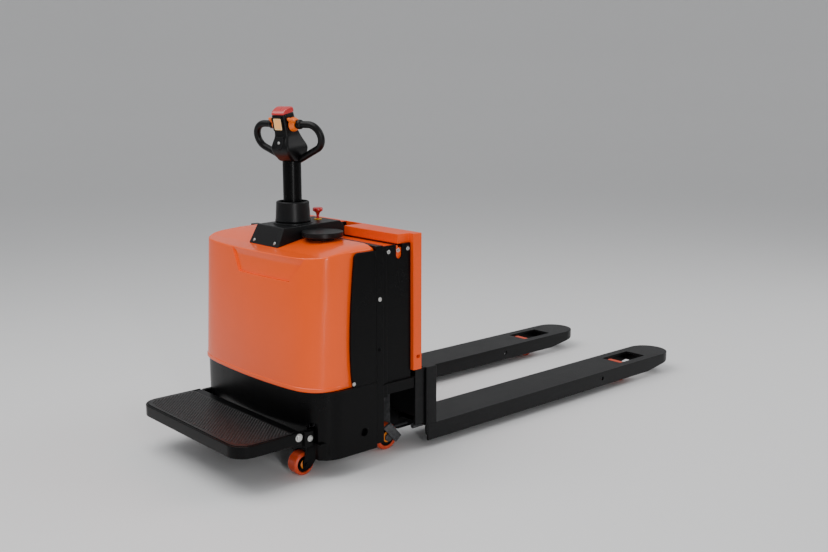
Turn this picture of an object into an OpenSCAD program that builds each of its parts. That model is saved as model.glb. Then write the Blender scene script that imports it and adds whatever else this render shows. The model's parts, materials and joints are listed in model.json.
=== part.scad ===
// Electric pallet truck with a fold-down operator platform and a short steering tiller.
// X runs along the truck with the forks towards +X, Y is across it and Z is up.
// Lengths along X are counted from the heel, where the forks start, and then centred.

/* [Forks] */
// Length of a fork from the heel to its round tip
fork_l = 1385; // [1150:5:1500]
// Width of one fork
fork_w = 165; // [150:5:180]
// Width over both forks
forks_over = 685; // [620:5:690]
// Height of the fork tops when lowered
fork_top = 85; // [82:1:92]
// Height of a fork's side wall
fork_side = 57; // [50:1:57]
// Plate thickness of the forks
fork_plate = 8; // [6:1:10]
// Height of the posts that the forks hang from
post_top = 283; // [260:1:300]
// Depth of a post along the truck
post_d = 46; // [40:1:55]

/* [Lift] */
// Lifting stroke of the fork frame
lift_h = 120; // [100:5:130]
// Radius of the load wheels
load_r = 40; // [37:1:41]
// Length of a load wheel arm
arm_l = 190; // [170:5:210]
// Distance from the heel to the load wheel axles
load_x = 1085; // [900:5:1090]
// Radius of the lift cylinder
cyl_r = 28; // [24:1:30]
// Radius of the piston rod
rod_r = 14; // [10:1:18]

/* [Battery] */
// Length of the battery along the truck
battery_l = 112; // [90:1:112]
// Width of the battery across the truck
battery_w = 620; // [560:5:625]
// Height of the battery
battery_h = 440; // [380:5:450]
// Depth of the backrest frame
backrest_d = 35; // [30:1:40]
// Top of the backrest
backrest_top = 733; // [725:1:745]

/* [Body] */
// Width over the chassis side plates
body_w = 700; // [690:5:740]
// Thickness of the chassis side plates
side_t = 8; // [6:1:10]
// Depth of the flange column behind the side plates
flange_d = 28; // [24:1:34]
// Length of the hood in front of the flange
hood_l = 261; // [255:1:290]
// Bottom of the hood
hood_bottom = 278; // [270:1:290]
// Top of the hood
hood_top = 714; // [700:1:720]
// Wall of the hood
hood_t = 5; // [3:1:6]
// Bottom of the chassis skirt
skirt_bottom = 62; // [55:1:75]
// Radius of the hood and skirt corners
corner_r = 64; // [50:1:80]

/* [Platform] */
// Length of the platform
plat_l = 228; // [200:2:260]
// Width of the platform
plat_w = 606; // [560:2:610]
// Height of the platform's tread
plat_top = 161; // [150:1:165]
// Height of the platform's rim
plat_rim = 38; // [30:1:42]

/* [Drive] */
// Radius of the drive wheel
drive_r = 115; // [105:1:116]
// Width of the drive wheel
drive_w = 75; // [65:1:80]
// Radius of the steering bearing's bore
slew_r = 70; // [60:1:75]
// Turn of the steering at rest
rest_turn = 15; // [0:1:30]
// Radius of the swivel caster wheels
caster_r = 37; // [32:1:38]
// Radius of the rear support wheels
support_r = 45; // [40:1:46]

/* [Tiller] */
// Radius of the tiller's shaft
shaft_r = 30; // [22:1:30]
// Outer radius of the boot at its foot
boot_r = 58; // [50:1:58]
// Height of the boot
boot_h = 66; // [60:1:75]
// Half of the width over the two handle loops
loop_half = 132; // [120:1:150]
// Radius of the handle tube
tube_r = 11; // [9:0.5:12]
// Width of the tiller head
head_w = 54; // [50:1:64]

/* [Hidden] */
$fn = 64;
eps = 0.5;

// Running clearance of a turning or sliding fit
fit = 0.05;
// Gap between pieces that only pass each other
gap = 2;

// Positions along the truck, counted from the heel
back_x1 = -post_d - 22;
back_x0 = back_x1 - backrest_d;
battery_x1 = back_x0 - 6;
battery_x0 = battery_x1 - battery_l;
tray_x0 = battery_x0 - 4;
flange_x1 = tray_x0 - 11;
flange_x0 = flange_x1 - flange_d;
hood_x0 = flange_x0 - hood_l;
skirt_x0 = hood_x0 + 12;
plat_x1 = skirt_x0 - 8;
plat_x0 = plat_x1 - plat_l;
x_mid = (plat_x0 + fork_l) / 2;

// Forks
fork_y = (forks_over - fork_w) / 2;
fork_bottom = fork_top - fork_side;
nose_r = fork_w / 2;
window_x0 = load_x - 28;
window_l = 165;
window_w = 90;

// Load wheels
arm_x = load_x - arm_l;
arm_z = fork_bottom + 30;
load_w = 70;
arm_t = 10;
axle_r = 8;

// Chassis
half_w = body_w / 2;
hood_half = half_w - 12;
panel_x0 = flange_x0 - 102;
base_z = 262;
base_t = 12;
flange_top = hood_top - 4;

// Platform hinge
hinge_x = plat_x1 - 12;
hinge_z = plat_top - 14;
ear_w = 10;
plat_r = 60;
plat_wall = 6;
pin_r = 7;

// Steering
steer_x = flange_x1 - 89;
tilt_z = hood_top + 56;
boot_z = hood_top + 45;
console_top = boot_z - gap;
head_z = boot_z + boot_h + 130;
console_w = 166;

// Small wheels
caster_y = half_w - 113;
caster_trail = 32;
caster_x = hood_x0 + 43;
caster_w = 50;
support_x = flange_x1 + 91;
support_y = half_w - 88;
support_w = 46;

// Lift cylinder
ram_x = -post_d;

module place() { translate([-x_mid, 0, 0]) children(); }
module on_steering() { translate([steer_x, 0, 0]) rotate([0, 0, rest_turn]) children(); }
module both_sides() { children(); mirror([0, 1, 0]) children(); }

// A plate between two opposite corners
module block(x0, x1, y0, y1, z0, z1) {
    translate([x0, y0, z0]) cube([x1 - x0, y1 - y0, z1 - z0]);
}

// A round bar along X, Y or Z from a point
module bar_x(x, y, z, r, l) { translate([x, y, z]) rotate([0, 90, 0]) cylinder(r = r, h = l); }
module bar_y(x, y, z, r, l) { translate([x, y, z]) rotate([-90, 0, 0]) cylinder(r = r, h = l); }
module bar_z(x, y, z, r, l) { translate([x, y, z]) cylinder(r = r, h = l); }

// An outline in the X-Z plane, given thickness across the truck from y0 to y1
module side_cut(points, y0, y1) {
    translate([0, y1, 0]) rotate([90, 0, 0]) linear_extrude(y1 - y0) polygon(points);
}

// An outline in the Y-Z plane, given length along the truck from x0 to x1
module front_cut(points, x0, x1) {
    translate([x0, 0, 0]) rotate([90, 0, 90]) linear_extrude(x1 - x0) polygon(points);
}

// A plan outline with round front corners, open at the flange
module nose_plan(x0, x1, half, r) {
    union() {
        translate([x0 + r, -half]) square([x1 - x0 - r, 2 * half]);
        translate([x0, -half + r]) square([r + eps, 2 * (half - r)]);
        for (s = [-1, 1]) translate([x0 + r, s * (half - r)]) circle(r = r);
    }
}

// A hexagon-headed bolt whose head stands out of a face towards +Y
module hex_bolt(r, head_h, shank) {
    rotate([-90, 0, 0]) cylinder(r = r, h = head_h, $fn = 6);
    rotate([90, 0, 0]) cylinder(r = r * 0.5, h = shank);
}

// ---------------------------------------------------------------- chassis

module chassis_frame() {
    color("dimgray") place() difference() {
        union() {
            translate([0, 0, base_z]) linear_extrude(base_t)
                nose_plan(skirt_x0 + side_t + 6, flange_x1 - side_t, half_w - side_t, corner_r + 46);
            both_sides() {
                block(flange_x0, flange_x1, half_w - side_t, half_w, skirt_bottom + 12, flange_top);
                block(flange_x1 - side_t, flange_x1, half_w - 60, half_w - side_t,
                    skirt_bottom + 60, flange_top - 12);
                block(panel_x0 + 26, flange_x1, half_w - 2 * side_t, half_w - side_t,
                    base_z, flange_top - 30);
                block(skirt_x0 + corner_r + 1, flange_x1, half_w - 2 * side_t, half_w - side_t, 80, base_z + 2);
                // Seat of the swivel caster and the wall that hangs it
                block(skirt_x0 + side_t + 1, caster_x + 120, caster_y - 55, plat_w / 2 - plat_wall - gap - 10,
                    plat_top - 48, plat_top - 42);
                block(skirt_x0 + 38, caster_x + 120, caster_y - 55, half_w - 2 * side_t + 1,
                    plat_top - 48, plat_top - 42);
                block(caster_x + 112, caster_x + 120, caster_y - 55, half_w - 2 * side_t + 1,
                    plat_top - 48, base_z + 2);
            }
            block(flange_x1 - side_t, flange_x1, -half_w + 60, half_w - 60, 640, flange_top - 12);
            block(flange_x1 - side_t, flange_x1, -half_w + 60, half_w - 60, base_z + 32, base_z + 80);
            block(flange_x0, flange_x1, -half_w + side_t, half_w - side_t, flange_top - 12, flange_top);
        }
        translate([steer_x, 0, base_z - eps]) cylinder(r = slew_r + 1, h = base_t + 2 * eps);
        both_sides() {
            bar_z(caster_x + caster_trail, caster_y, plat_top - 50, 8, 12);
            bar_y(flange_x0 - 52, half_w - 3 * side_t, skirt_bottom + 64, 13, 40);
        }
    }
}

// The black wrap below the hood, with a notch at each front corner
module skirt() {
    color("#1d1d1f") place() difference() {
        translate([0, 0, skirt_bottom]) linear_extrude(hood_bottom - skirt_bottom) difference() {
            nose_plan(skirt_x0, flange_x0, half_w, corner_r);
            nose_plan(skirt_x0 + side_t, flange_x0 + eps, half_w - side_t, corner_r - side_t);
        }
        both_sides() {
            block(skirt_x0 - 20, skirt_x0 + 42, plat_w / 2 - 20, half_w + 20, 0, plat_top + 17);
            block(skirt_x0 - 20, skirt_x0 + 22, plat_w / 2 - 20, half_w + 20, 0, plat_top + 21);
            bar_y(flange_x0 - 52, half_w - 2 * side_t, skirt_bottom + 64, 13, 40);
            side_cut([[skirt_x0 + 40, skirt_bottom - 1], [skirt_x0 + 54, skirt_bottom - 1],
                [skirt_x0 + 40, skirt_bottom + 13]], half_w - 60, half_w + 5);
        }
        block(skirt_x0 - 20, skirt_x0 + 42, -plat_w / 2, plat_w / 2, 0, plat_top - plat_rim - 8);
    }
}

// Solid outline of the hood, shrunk by a wall
module hood_solid(wall) {
    front = hood_x0 + wall;
    top = hood_top - wall;
    half = hood_half - wall;
    intersection() {
        translate([0, 0, hood_bottom - (wall > 0 ? 1 : 0)]) linear_extrude(hood_top)
            nose_plan(front, flange_x0 + (wall > 0 ? 1 : 0), half, corner_r - wall);
        side_cut([[front, 0], [front, hood_bottom], [front + 20, top - 30], [front + 80, top - 24],
            [front + 190, top], [flange_x0 + 2, top], [flange_x0 + 2, 0]], -half - 1, half + 1);
        front_cut([[-half, 0], [-half, top - 14], [-half + 38, top], [half - 38, top],
            [half, top - 14], [half, 0]], front - 1, flange_x0 + 3);
    }
}

module front_hood() {
    color("#ff5a0a") place() difference() {
        hood_solid(0);
        hood_solid(hood_t);
        // The side panels close the hood behind this line
        both_sides() block(panel_x0 + 25, flange_x0 + 1, hood_half - hood_t - 1, hood_half + 1, 0, hood_top - 20);
        // Passage for the steering column
        translate([steer_x, 0, hood_top - 40]) cylinder(r = 60, h = 80);
        // Shallow hand recess that follows the leaning front
        intersection() {
            front_cut([[-275, hood_top - 31], [89, hood_top - 31], [46, hood_top - 104],
                [-217, hood_top - 104]], hood_x0 - 10, hood_x0 + 40);
            side_cut([[hood_x0 - 8, hood_bottom], [hood_x0 + 2.5, hood_bottom],
                [hood_x0 + 22.5, hood_top - 30], [hood_x0 - 8, hood_top - 30]], -half_w, half_w);
        }
    }
}

module side_panel_solid() {
    difference() {
        block(panel_x0, flange_x0, half_w - side_t, half_w, hood_bottom, flange_top - 13);
        // Round upper corner
        translate([panel_x0 - 1, half_w - side_t - 1, flange_top - 13 - 18]) difference() {
            cube([19, side_t + 2, 19]);
            translate([19, -1, 0]) rotate([-90, 0, 0]) cylinder(r = 18, h = side_t + 4);
        }
    }
}

module side_panel_left() { color("#1d1d1f") place() side_panel_solid(); }
module side_panel_right() { color("#1d1d1f") place() mirror([0, 1, 0]) side_panel_solid(); }

// Angular cover around the tiller's foot, with an apron down the hood's front
module console_cover() {
    x0 = steer_x - 150;
    x1 = steer_x + 148;
    color("#2a2b2d") place() difference() {
        intersection() {
            side_cut([[x0 + 61, console_top - 6], [x1 - 12, console_top], [x1, console_top - 12],
                [x1 + 4, hood_top], [x0 + 140, hood_top], [x0 + 30, hood_top - 23.6]],
                -console_w / 2, console_w / 2);
            front_cut([[-console_w / 2, hood_top - 30], [-console_w / 2 + 8, console_top + 7],
                [console_w / 2 - 8, console_top + 7], [console_w / 2, hood_top - 30]], x0 - 20, x1 + 20);
        }
        translate([steer_x, 0, hood_top - 30]) cylinder(r = shaft_r + 20, h = 120);
        // Seats of the stop button's stem and the key barrel
        bar_z(steer_x + 100, 0, hood_top, 5 + fit, 60);
        bar_z(steer_x + 84, 48, hood_top, 10, 60);
    }
}

// Round flat shelf beside the console
module round_shelf() {
    color("#2a2b2d") place() difference() {
        translate([steer_x + 12, -console_w / 2 - 60, hood_top + 8]) union() {
            cylinder(r = 66, h = 18);
            translate([0, 0, -8]) cylinder(r = 40, h = 8.5);
        }
        block(steer_x - 170, steer_x + 160, -console_w / 2 - 2, console_w, hood_top, console_top + 20);
    }
}

module key_switch() {
    color("silver") place() difference() {
        union() {
            bar_z(steer_x + 84, 48, hood_top + 4, 10, console_top - hood_top - 4);
            bar_z(steer_x + 84, 48, console_top - 0.5, 13, 3.5);
        }
        bar_z(steer_x + 84, 48, console_top - 16, 3 + fit, 40);
    }
}

module motor_controller() {
    color("#3a3d40") place() translate([hood_x0 + 36, 90, base_z + base_t]) {
        cube([30, 150, 180]);
        for (i = [0:5]) translate([29, 8 + 24 * i, 0]) cube([18, 6, 180]);
        for (i = [0:2]) translate([15, 30 + 45 * i, 179]) cylinder(r = 5, h = 14);
    }
}

module hydraulic_unit() {
    color("#55585c") place() translate([flange_x0 - 60, -200, base_z + base_t]) {
        cylinder(r = 42, h = 150);
        translate([0, 0, 149]) cylinder(r = 52, h = 34);
        translate([0, 0, 182]) cylinder(r = 40, h = 90);
        translate([40, -20, 155]) cube([18, 40, 20]);
    }
}

// Barrel of the lift cylinder, on the foot plate between the heels
module lift_cylinder() {
    color("#33363a") place() difference() {
        bar_z(ram_x, 0, skirt_bottom + 10, cyl_r, lift_h + 23);
        bar_z(ram_x, 0, skirt_bottom + 20, rod_r + fit, lift_h + 40);
    }
}

module slew_bearing() {
    color("silver") place() translate([steer_x, 0, base_z + base_t]) difference() {
        cylinder(r = slew_r + 18, h = 16);
        translate([0, 0, -1]) cylinder(r = slew_r, h = 20);
    }
}

// Ears that carry the platform and the cheeks behind its side walls
module hinge_brackets() {
    in_y = plat_w / 2 - plat_wall - gap;
    color("#232427") place() both_sides() difference() {
        union() {
            block(hinge_x - 14, skirt_x0 + 38, in_y - ear_w, in_y, plat_top - 50, plat_top - 2);
            block(plat_x1 + 9, skirt_x0 + 38, in_y - eps, plat_w / 2, plat_top - 53, plat_top - 3);
        }
        bar_y(hinge_x, in_y - 20, hinge_z, pin_r, 60);
        bar_y(skirt_x0 + 22, in_y - 20, hinge_z - 12, 5, 60);
    }
}

// Platform pivots and the bolts that hold the brackets
module hinge_pins() {
    color("silver") place() both_sides() {
        bar_y(hinge_x, plat_w / 2 - plat_wall - gap - 12, hinge_z, pin_r, plat_wall + gap + 12.5);
        translate([hinge_x, plat_w / 2 + 0.4, hinge_z]) rotate([-90, 0, 0]) cylinder(r = 12, h = 6, $fn = 6);
        bar_y(skirt_x0 + 22, plat_w / 2 - 18, hinge_z - 12, 5, 18);
        translate([skirt_x0 + 22, plat_w / 2, hinge_z - 12]) rotate([-90, 0, 0])
            cylinder(r = 9, h = 5, $fn = 6);
    }
}

// Hangers of the rear support wheels, joined by the beam that the lift cylinder stands on
module support_brackets() {
    in_y = support_y - support_w - 11;
    color("#8b8e92") place() difference() {
        union() {
            both_sides() {
                // Axle and its boss
                translate([support_x, support_y + 6, support_r]) rotate([90, 0, 0]) cylinder(r = 14, h = 6);
                bar_y(support_x, in_y, support_r, axle_r, support_w + 16);
                // Link plate in front of the wheel, with its rod
                side_cut([[support_x - 27, support_r + 38], [support_x + 3, support_r + 51],
                    [support_x + 50, support_r - 2], [support_x + 25, support_r - 20]],
                    support_y + 3, support_y + 11);
                bar_x(support_x + 8, support_y + 7, support_r + 35, 3.5, 70);
                // Inner plate back to the chassis
                side_cut([[support_x - 16, support_r - 14], [support_x + 16, support_r - 14],
                    [support_x + 49, skirt_bottom], [support_x + 49, skirt_bottom + 34],
                    [support_x + 10, skirt_bottom + 44], [flange_x1 - 4, skirt_bottom + 115],
                    [flange_x1 - 8, skirt_bottom + 40]], in_y, in_y + 8);
                block(flange_x1 - 8, flange_x1, in_y, half_w - 60, skirt_bottom + 40, skirt_bottom + 115);
                // Dark cover plate between the wheel and the middle
                block(flange_x1 - 6, ram_x - 48, in_y, in_y + 8, skirt_bottom - 22, skirt_bottom + 150);
            }
            block(support_x + 15, support_x + 49, -in_y - 1, in_y + 1, skirt_bottom, skirt_bottom + 34);
            block(support_x + 48, ram_x + 26, -35, 35, skirt_bottom, skirt_bottom + 10);
        }
        both_sides() for (p = [[40, 0], [28, -9]])
            bar_y(support_x + p[0], support_y, support_r + p[1], 2, 20);
    }
}

// Screws and bolts of the body, all alike
module body_screws() {
    color("silver") place() {
        both_sides() {
            translate([flange_x1 - 14, half_w, 542]) hex_bolt(6, 4, 10);
            translate([panel_x0 + 10, half_w, 290]) hex_bolt(5, 3, side_t);
            translate([flange_x1 - 14, half_w, 380]) hex_bolt(6, 4, 10);
        }
    }
}

// ------------------------------------------------------------- fork frame

module fork_plan(inset) {
    union() {
        translate([-post_d + 8, -fork_w / 2 + inset]) square([fork_l - nose_r + post_d - 8, fork_w - 2 * inset]);
        translate([fork_l - nose_r, 0]) circle(r = nose_r - inset, $fn = 96);
    }
}

// A channel open below, closed at its nose, with a window over the load wheel
module fork_solid() {
    difference() {
        translate([0, 0, fork_bottom]) linear_extrude(fork_side) fork_plan(0);
        // Hollow of the channel
        translate([0, 0, fork_bottom - 1]) linear_extrude(fork_side - fork_plate + 1) difference() {
            fork_plan(fork_plate);
            translate([fork_l - 125, -fork_w]) square([200, 2 * fork_w]);
        }
        // Rising underside of the nose
        side_cut([[load_x + 105, fork_bottom - 1], [fork_l + 10, fork_bottom - 1],
            [fork_l + 10, fork_bottom + 26], [fork_l - 30, fork_bottom + 22]], -fork_w, fork_w);
        // The heel seats just below the post, so that the load face starts at it
        block(-post_d, 0, -fork_w, fork_w, fork_top - eps, fork_top + 1);
        // Window
        translate([window_x0, -window_w / 2, 0]) cube([window_l, window_w, fork_top + 5]);
        // Bores of the arm pivot
        bar_y(arm_x, -fork_w, arm_z, axle_r, 2 * fork_w);
    }
}

module fork_left() { color("#2c2d2f") place() translate([0, fork_y, 0]) fork_solid(); }
module fork_right() { color("#2c2d2f") place() translate([0, -fork_y, 0]) fork_solid(); }

// Posts with round feet, joined by the heel plate and the cheeks behind it
module fork_carriage() {
    color("#1f2022") place() union() {
        both_sides() difference() {
            union() {
                side_cut([[-post_d, 62], [0, 62], [0, post_top], [-post_d, post_top]],
                    fork_y - fork_w / 2, fork_y + fork_w / 2);
                bar_y(-post_d / 2, fork_y - fork_w / 2, 62, post_d / 2, fork_w);
            }
            // Hollow of the post
            block(-post_d - 1, -8, fork_y - fork_w / 2 + 8, fork_y + fork_w / 2 - 8, 0, post_top - 8);
            // Seat of the fork's heel
            block(-post_d + 8 - 0.01, 1, fork_y - fork_w / 2 - 1, fork_y + fork_w / 2 + 1,
                fork_bottom - 1, fork_top - eps);
        }
        both_sides() {
            block(-post_d, -8, forks_over / 2 - 8, forks_over / 2, fork_top, post_top - 8);
            block(-post_d + 0.5, -8, fork_y - fork_w / 2, fork_y - fork_w / 2 + 8, fork_top, post_top - 8);
        }
        // Bridge that the piston rod lifts
        block(back_x1 - 20, -2, -60, 60, post_top - 15, post_top - 2);
        block(-12, -2, -fork_y, fork_y, fork_top, post_top - 2);
        // Cheeks that the backrest stands on
        both_sides() block(back_x1 - 20, -post_d + 2, half_w - 26, half_w - 16, fork_top + 5, post_top);
        both_sides() block(back_x1 - 20, -post_d + 8, fork_y - fork_w / 2 + 10, fork_y - fork_w / 2 + 20,
            fork_top + 5, post_top - 3);
        both_sides() block(back_x1 - 20, -post_d + 7, fork_y - fork_w / 2 + 10, fork_y - fork_w / 2 + 20,
            fork_bottom + 7, fork_top + 6);
        block(back_x1 - 20, back_x1 - 12, -half_w + 20, half_w - 20, fork_top + 35, post_top - 3);
    }
}

module battery_tray() {
    z = post_top - 63;
    color("#1f2022") place() difference() {
        block(flange_x1, back_x1 - 21, -half_w + 20, half_w - 20, z, z + 40);
        block(battery_x0 - 1, battery_x1 + 1, -battery_w / 2 - 1, battery_w / 2 + 1, z + 8, z + 50);
        block(flange_x1 - 1, tray_x0, -130, 130, z - 1, z + 50);
    }
}

module battery() {
    z = post_top - 55;
    color("#3b3e44") place() union() {
        block(battery_x0, battery_x1, -battery_w / 2, battery_w / 2, z, z + battery_h);
        for (i = [0:11]) translate([battery_x0 + 30 + 52 * (i % 2), -battery_w / 2 + 55 + 100 * floor(i / 2),
            z + battery_h - 1]) cylinder(r = 12, h = 9);
    }
}

module battery_panel_solid() {
    z0 = post_top - 23;
    z1 = flange_top - 7;
    difference() {
        block(tray_x0, back_x0 - 2, half_w - 26, half_w - 20, z0, z1);
        block(tray_x0 + 60, tray_x0 + 84, half_w - 30, half_w - 10, z1 - 34, z1 + 5);
        bar_y(tray_x0 + 72, half_w - 30, z1 - 34, 12, 20);
    }
    // Folded strip along the flange
    block(tray_x0, tray_x0 + 18, half_w - 20.5, half_w - 16, z0 - 46, z1);
}

module battery_panel_left() { color("#1b1b1d") place() battery_panel_solid(); }
module battery_panel_right() { color("#1b1b1d") place() mirror([0, 1, 0]) battery_panel_solid(); }

// Portal frame behind the battery: legs, top box and rear plate
module backrest() {
    half = half_w - 8;
    color("#ff5a0a") place() difference() {
        union() {
            both_sides() block(back_x0, back_x1, half - 18, half, post_top, backrest_top);
            block(back_x1 - 5, back_x1, -half + 1, half - 1, post_top, backrest_top);
            block(back_x0 - 48, back_x1 - 4, -half + 22, half - 22, backrest_top - 31, backrest_top);
            block(back_x0, back_x1, -half + 1, half - 1, backrest_top - 31, backrest_top);
        }
        // Inside of the top box
        block(back_x0 - 44, back_x1 - 5, -half + 26, half - 26, backrest_top - 40, backrest_top - 4);
        // Seat of the grip
        block(back_x0 - 60, back_x1 - 5, -46, 46, backrest_top - 60, backrest_top + 5);
        // Holes in the feet of the legs
        both_sides() bar_y(back_x0 + 20, half - 30, post_top + 44, 6, 40);
    }
}

module battery_lid() {
    z = flange_top - 12;
    color("#ff5a0a") place() difference() {
        block(tray_x0 + 1, back_x0 - 49, -half_w + 26, half_w - 26, z - 14, z);
        block(tray_x0 + 5, back_x0 - 40, -half_w + 30, half_w - 30, z - 20, z - 4);
        block(back_x0 - 110, back_x0 - 40, -46, 46, z - 20, z + 5);
    }
}

// Black grip in the notch of the lid and the backrest
module lid_grip() {
    z = flange_top - 12;
    color("#151516") place() union() {
        block(back_x0 - 48, back_x1 - 5, -45, 45, z - 6, z);
        both_sides() block(back_x0 - 48, back_x1 - 5, 41, 46, z - 1, backrest_top - 2);
        bar_y(back_x0 - 20, -44, z + 16, 6, 88);
    }
}

module panel_bolts() {
    z = flange_top - 28;
    color("silver") place() both_sides() {
        translate([tray_x0 + 28, half_w - 20, z]) hex_bolt(6, 4, 10);
        translate([back_x0 - 14, half_w - 20, z + 3]) hex_bolt(6, 4, 10);
        translate([tray_x0 + 72, half_w - 26, z]) hex_bolt(6, 5, 10);
    }
}

// Piston rod between the barrel and the bridge of the carriage
module lift_rod() {
    color("silver") place()
        bar_z(ram_x, 0, skirt_bottom + 23, rod_r, post_top - 38 - skirt_bottom);
}

// Forked arm that carries a load wheel; it hangs from the pivot in the fork
module load_arm() {
    half = load_w / 2 + 1 + arm_t;
    dz = load_r - arm_z;
    turn = atan2(dz, arm_l);
    len = sqrt(arm_l * arm_l + dz * dz);
    union() {
        difference() {
            translate([arm_x, 0, arm_z]) rotate([0, -turn, 0]) union() {
                for (s = [-1, 1]) translate([0, s * (half - arm_t / 2) - arm_t / 2, 0]) {
                    translate([0, 0, -13]) cube([len, arm_t, 26]);
                    rotate([-90, 0, 0]) cylinder(r = 13, h = arm_t);
                    translate([len, 0, 0]) rotate([-90, 0, 0]) cylinder(r = 16, h = arm_t);
                }
                translate([30, -half + 1, -10]) cube([70, 2 * half - 2, 18]);
            }
            bar_y(arm_x, -half - 1, arm_z, axle_r + fit, 2 * half + 2);
        }
        // Axle of the wheel
        bar_y(load_x, -half + 1, load_r, axle_r, 2 * half - 2);
    }
}

module load_arm_left() { color("#3c3f43") place() translate([0, fork_y, 0]) load_arm(); }
module load_arm_right() { color("#3c3f43") place() translate([0, -fork_y, 0]) load_arm(); }

// A wheel about Y with chamfered tread, dished sides and a bore
module wheel(r, w, bore) {
    rotate([90, 0, 0]) rotate_extrude($fn = 96) polygon([
        [bore, -w / 2], [r * 0.42, -w / 2], [r * 0.46, -w / 2 + 4], [r * 0.7, -w / 2 + 4],
        [r * 0.74, -w / 2 + 1], [r - 5, -w / 2 + 1], [r, -w / 2 + 6], [r, w / 2 - 6],
        [r - 5, w / 2 - 1], [r * 0.74, w / 2 - 1], [r * 0.7, w / 2 - 4], [r * 0.46, w / 2 - 4],
        [r * 0.42, w / 2], [bore, w / 2]]);
}

module load_wheel(s) {
    place() translate([load_x, s * fork_y, load_r]) wheel(load_r, load_w, axle_r + fit);
}

module load_wheel_left() { color("#f07a22") load_wheel(1); }
module load_wheel_right() { color("#f07a22") load_wheel(-1); }

// Rods under the forks that push the wheel arms, joined by a cross bar
module push_rods() {
    color("#3c3f43") place() union() {
        both_sides() bar_x(-post_d + 10, fork_y, fork_bottom + 30, 9, arm_x - 20 + post_d - 10);
        both_sides() translate([arm_x - 22, fork_y, fork_bottom + 30]) sphere(r = 6);
    }
}

// ------------------------------------------------------------ steer unit

module steer_column() {
    foot = base_z + base_t + 231;
    color("#2b2c2f") place() on_steering() difference() {
        union() {
            translate([0, 0, foot]) cylinder(r = 26, h = tilt_z - 25 - foot);
            for (s = [-1, 1]) translate([0, s * 24.5, 0]) {
                translate([-15, -4, tilt_z - 26]) cube([30, 8, 26]);
                translate([0, 4, tilt_z]) rotate([90, 0, 0]) cylinder(r = 15, h = 8);
            }
            translate([-15, -28, tilt_z - 30]) cube([30, 56, 8]);
        }
        translate([0, 0, tilt_z]) rotate([90, 0, 0]) translate([0, 0, -40]) cylinder(r = 8, h = 80);
    }
}

module drive_gearbox() {
    color("#6a6d70") place() on_steering() union() {
        translate([0, 0, drive_r * 2 + 6]) cylinder(r = slew_r + 26, h = 22);
        translate([0, 0, drive_r * 2 + 8]) cylinder(r = slew_r - fit, h = base_z + base_t + 8 - drive_r * 2);
        translate([-40, drive_w / 2 + 8, drive_r]) cube([80, 40, drive_r + 8]);
        translate([0, drive_w / 2 + 48, drive_r]) rotate([90, 0, 0]) cylinder(r = 40, h = 40);
        translate([0, drive_w / 2 + 10, drive_r]) rotate([90, 0, 0]) cylinder(r = 18, h = drive_w);
    }
}

module traction_motor() {
    z = base_z + base_t + 16;
    color("#2f3134") place() on_steering() union() {
        translate([0, 0, z]) cylinder(r = 68, h = 190);
        for (i = [0:3]) rotate([0, 0, 90 * i + 45]) translate([56, -8, z + 6]) cube([20, 16, 30]);
        translate([0, 0, z + 189]) cylinder(r = 58, h = 26);
        translate([-88, -24, z + 110]) cube([30, 48, 50]);
    }
}

module drive_hub() {
    color("#7d8084") place() on_steering() translate([0, 0, drive_r]) rotate([90, 0, 0])
        translate([0, 0, -drive_w / 2]) difference() {
            union() {
                cylinder(r = drive_r - 22, h = drive_w);
            }
            translate([0, 0, -1]) cylinder(r = 18 + fit, h = drive_w + 2);
            for (i = [0:5]) rotate([0, 0, 60 * i]) translate([56, 0, -1]) cylinder(r = 12, h = drive_w + 2);
        }
}

module drive_tyre() {
    color("#27272a") place() on_steering() translate([0, 0, drive_r]) rotate([90, 0, 0])
        rotate_extrude($fn = 96) polygon([[drive_r - 22, -drive_w / 2], [drive_r - 6, -drive_w / 2],
            [drive_r, -drive_w / 2 + 6], [drive_r, drive_w / 2 - 6], [drive_r - 6, drive_w / 2],
            [drive_r - 22, drive_w / 2]]);
}

module tiller_boot() {
    color("#2b2c2e") place() on_steering() translate([0, 0, boot_z]) rotate_extrude() polygon([
        [shaft_r - 1, 0], [boot_r, 0], [boot_r - 1, 4], [boot_r - 4, boot_h - 4], [boot_r - 7, boot_h],
        [shaft_r + 17, boot_h], [shaft_r + 17, boot_h - 5], [shaft_r + 19, boot_h - 6],
        [shaft_r + 22, 2.5], [shaft_r - 1, 2.5]]);
}

module tilt_pin() {
    color("silver") place() on_steering() translate([0, 0, tilt_z]) rotate([90, 0, 0])
        translate([0, 0, -28.5]) cylinder(r = 8, h = 57);
}

// Tongue on the tilt pin and the round shaft above it
module tiller_shaft() {
    color("#2a2a2c") place() on_steering() difference() {
        union() {
            translate([-14, -20, tilt_z]) cube([28, 40, 32]);
            translate([0, 20, tilt_z]) rotate([90, 0, 0]) cylinder(r = 14, h = 40);
            translate([0, 0, tilt_z + 26]) cylinder(r = shaft_r, h = head_z - tilt_z - 26);
        }
        translate([0, 0, tilt_z]) rotate([90, 0, 0]) translate([0, 0, -40]) cylinder(r = 8 + fit, h = 80);
    }
}

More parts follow.
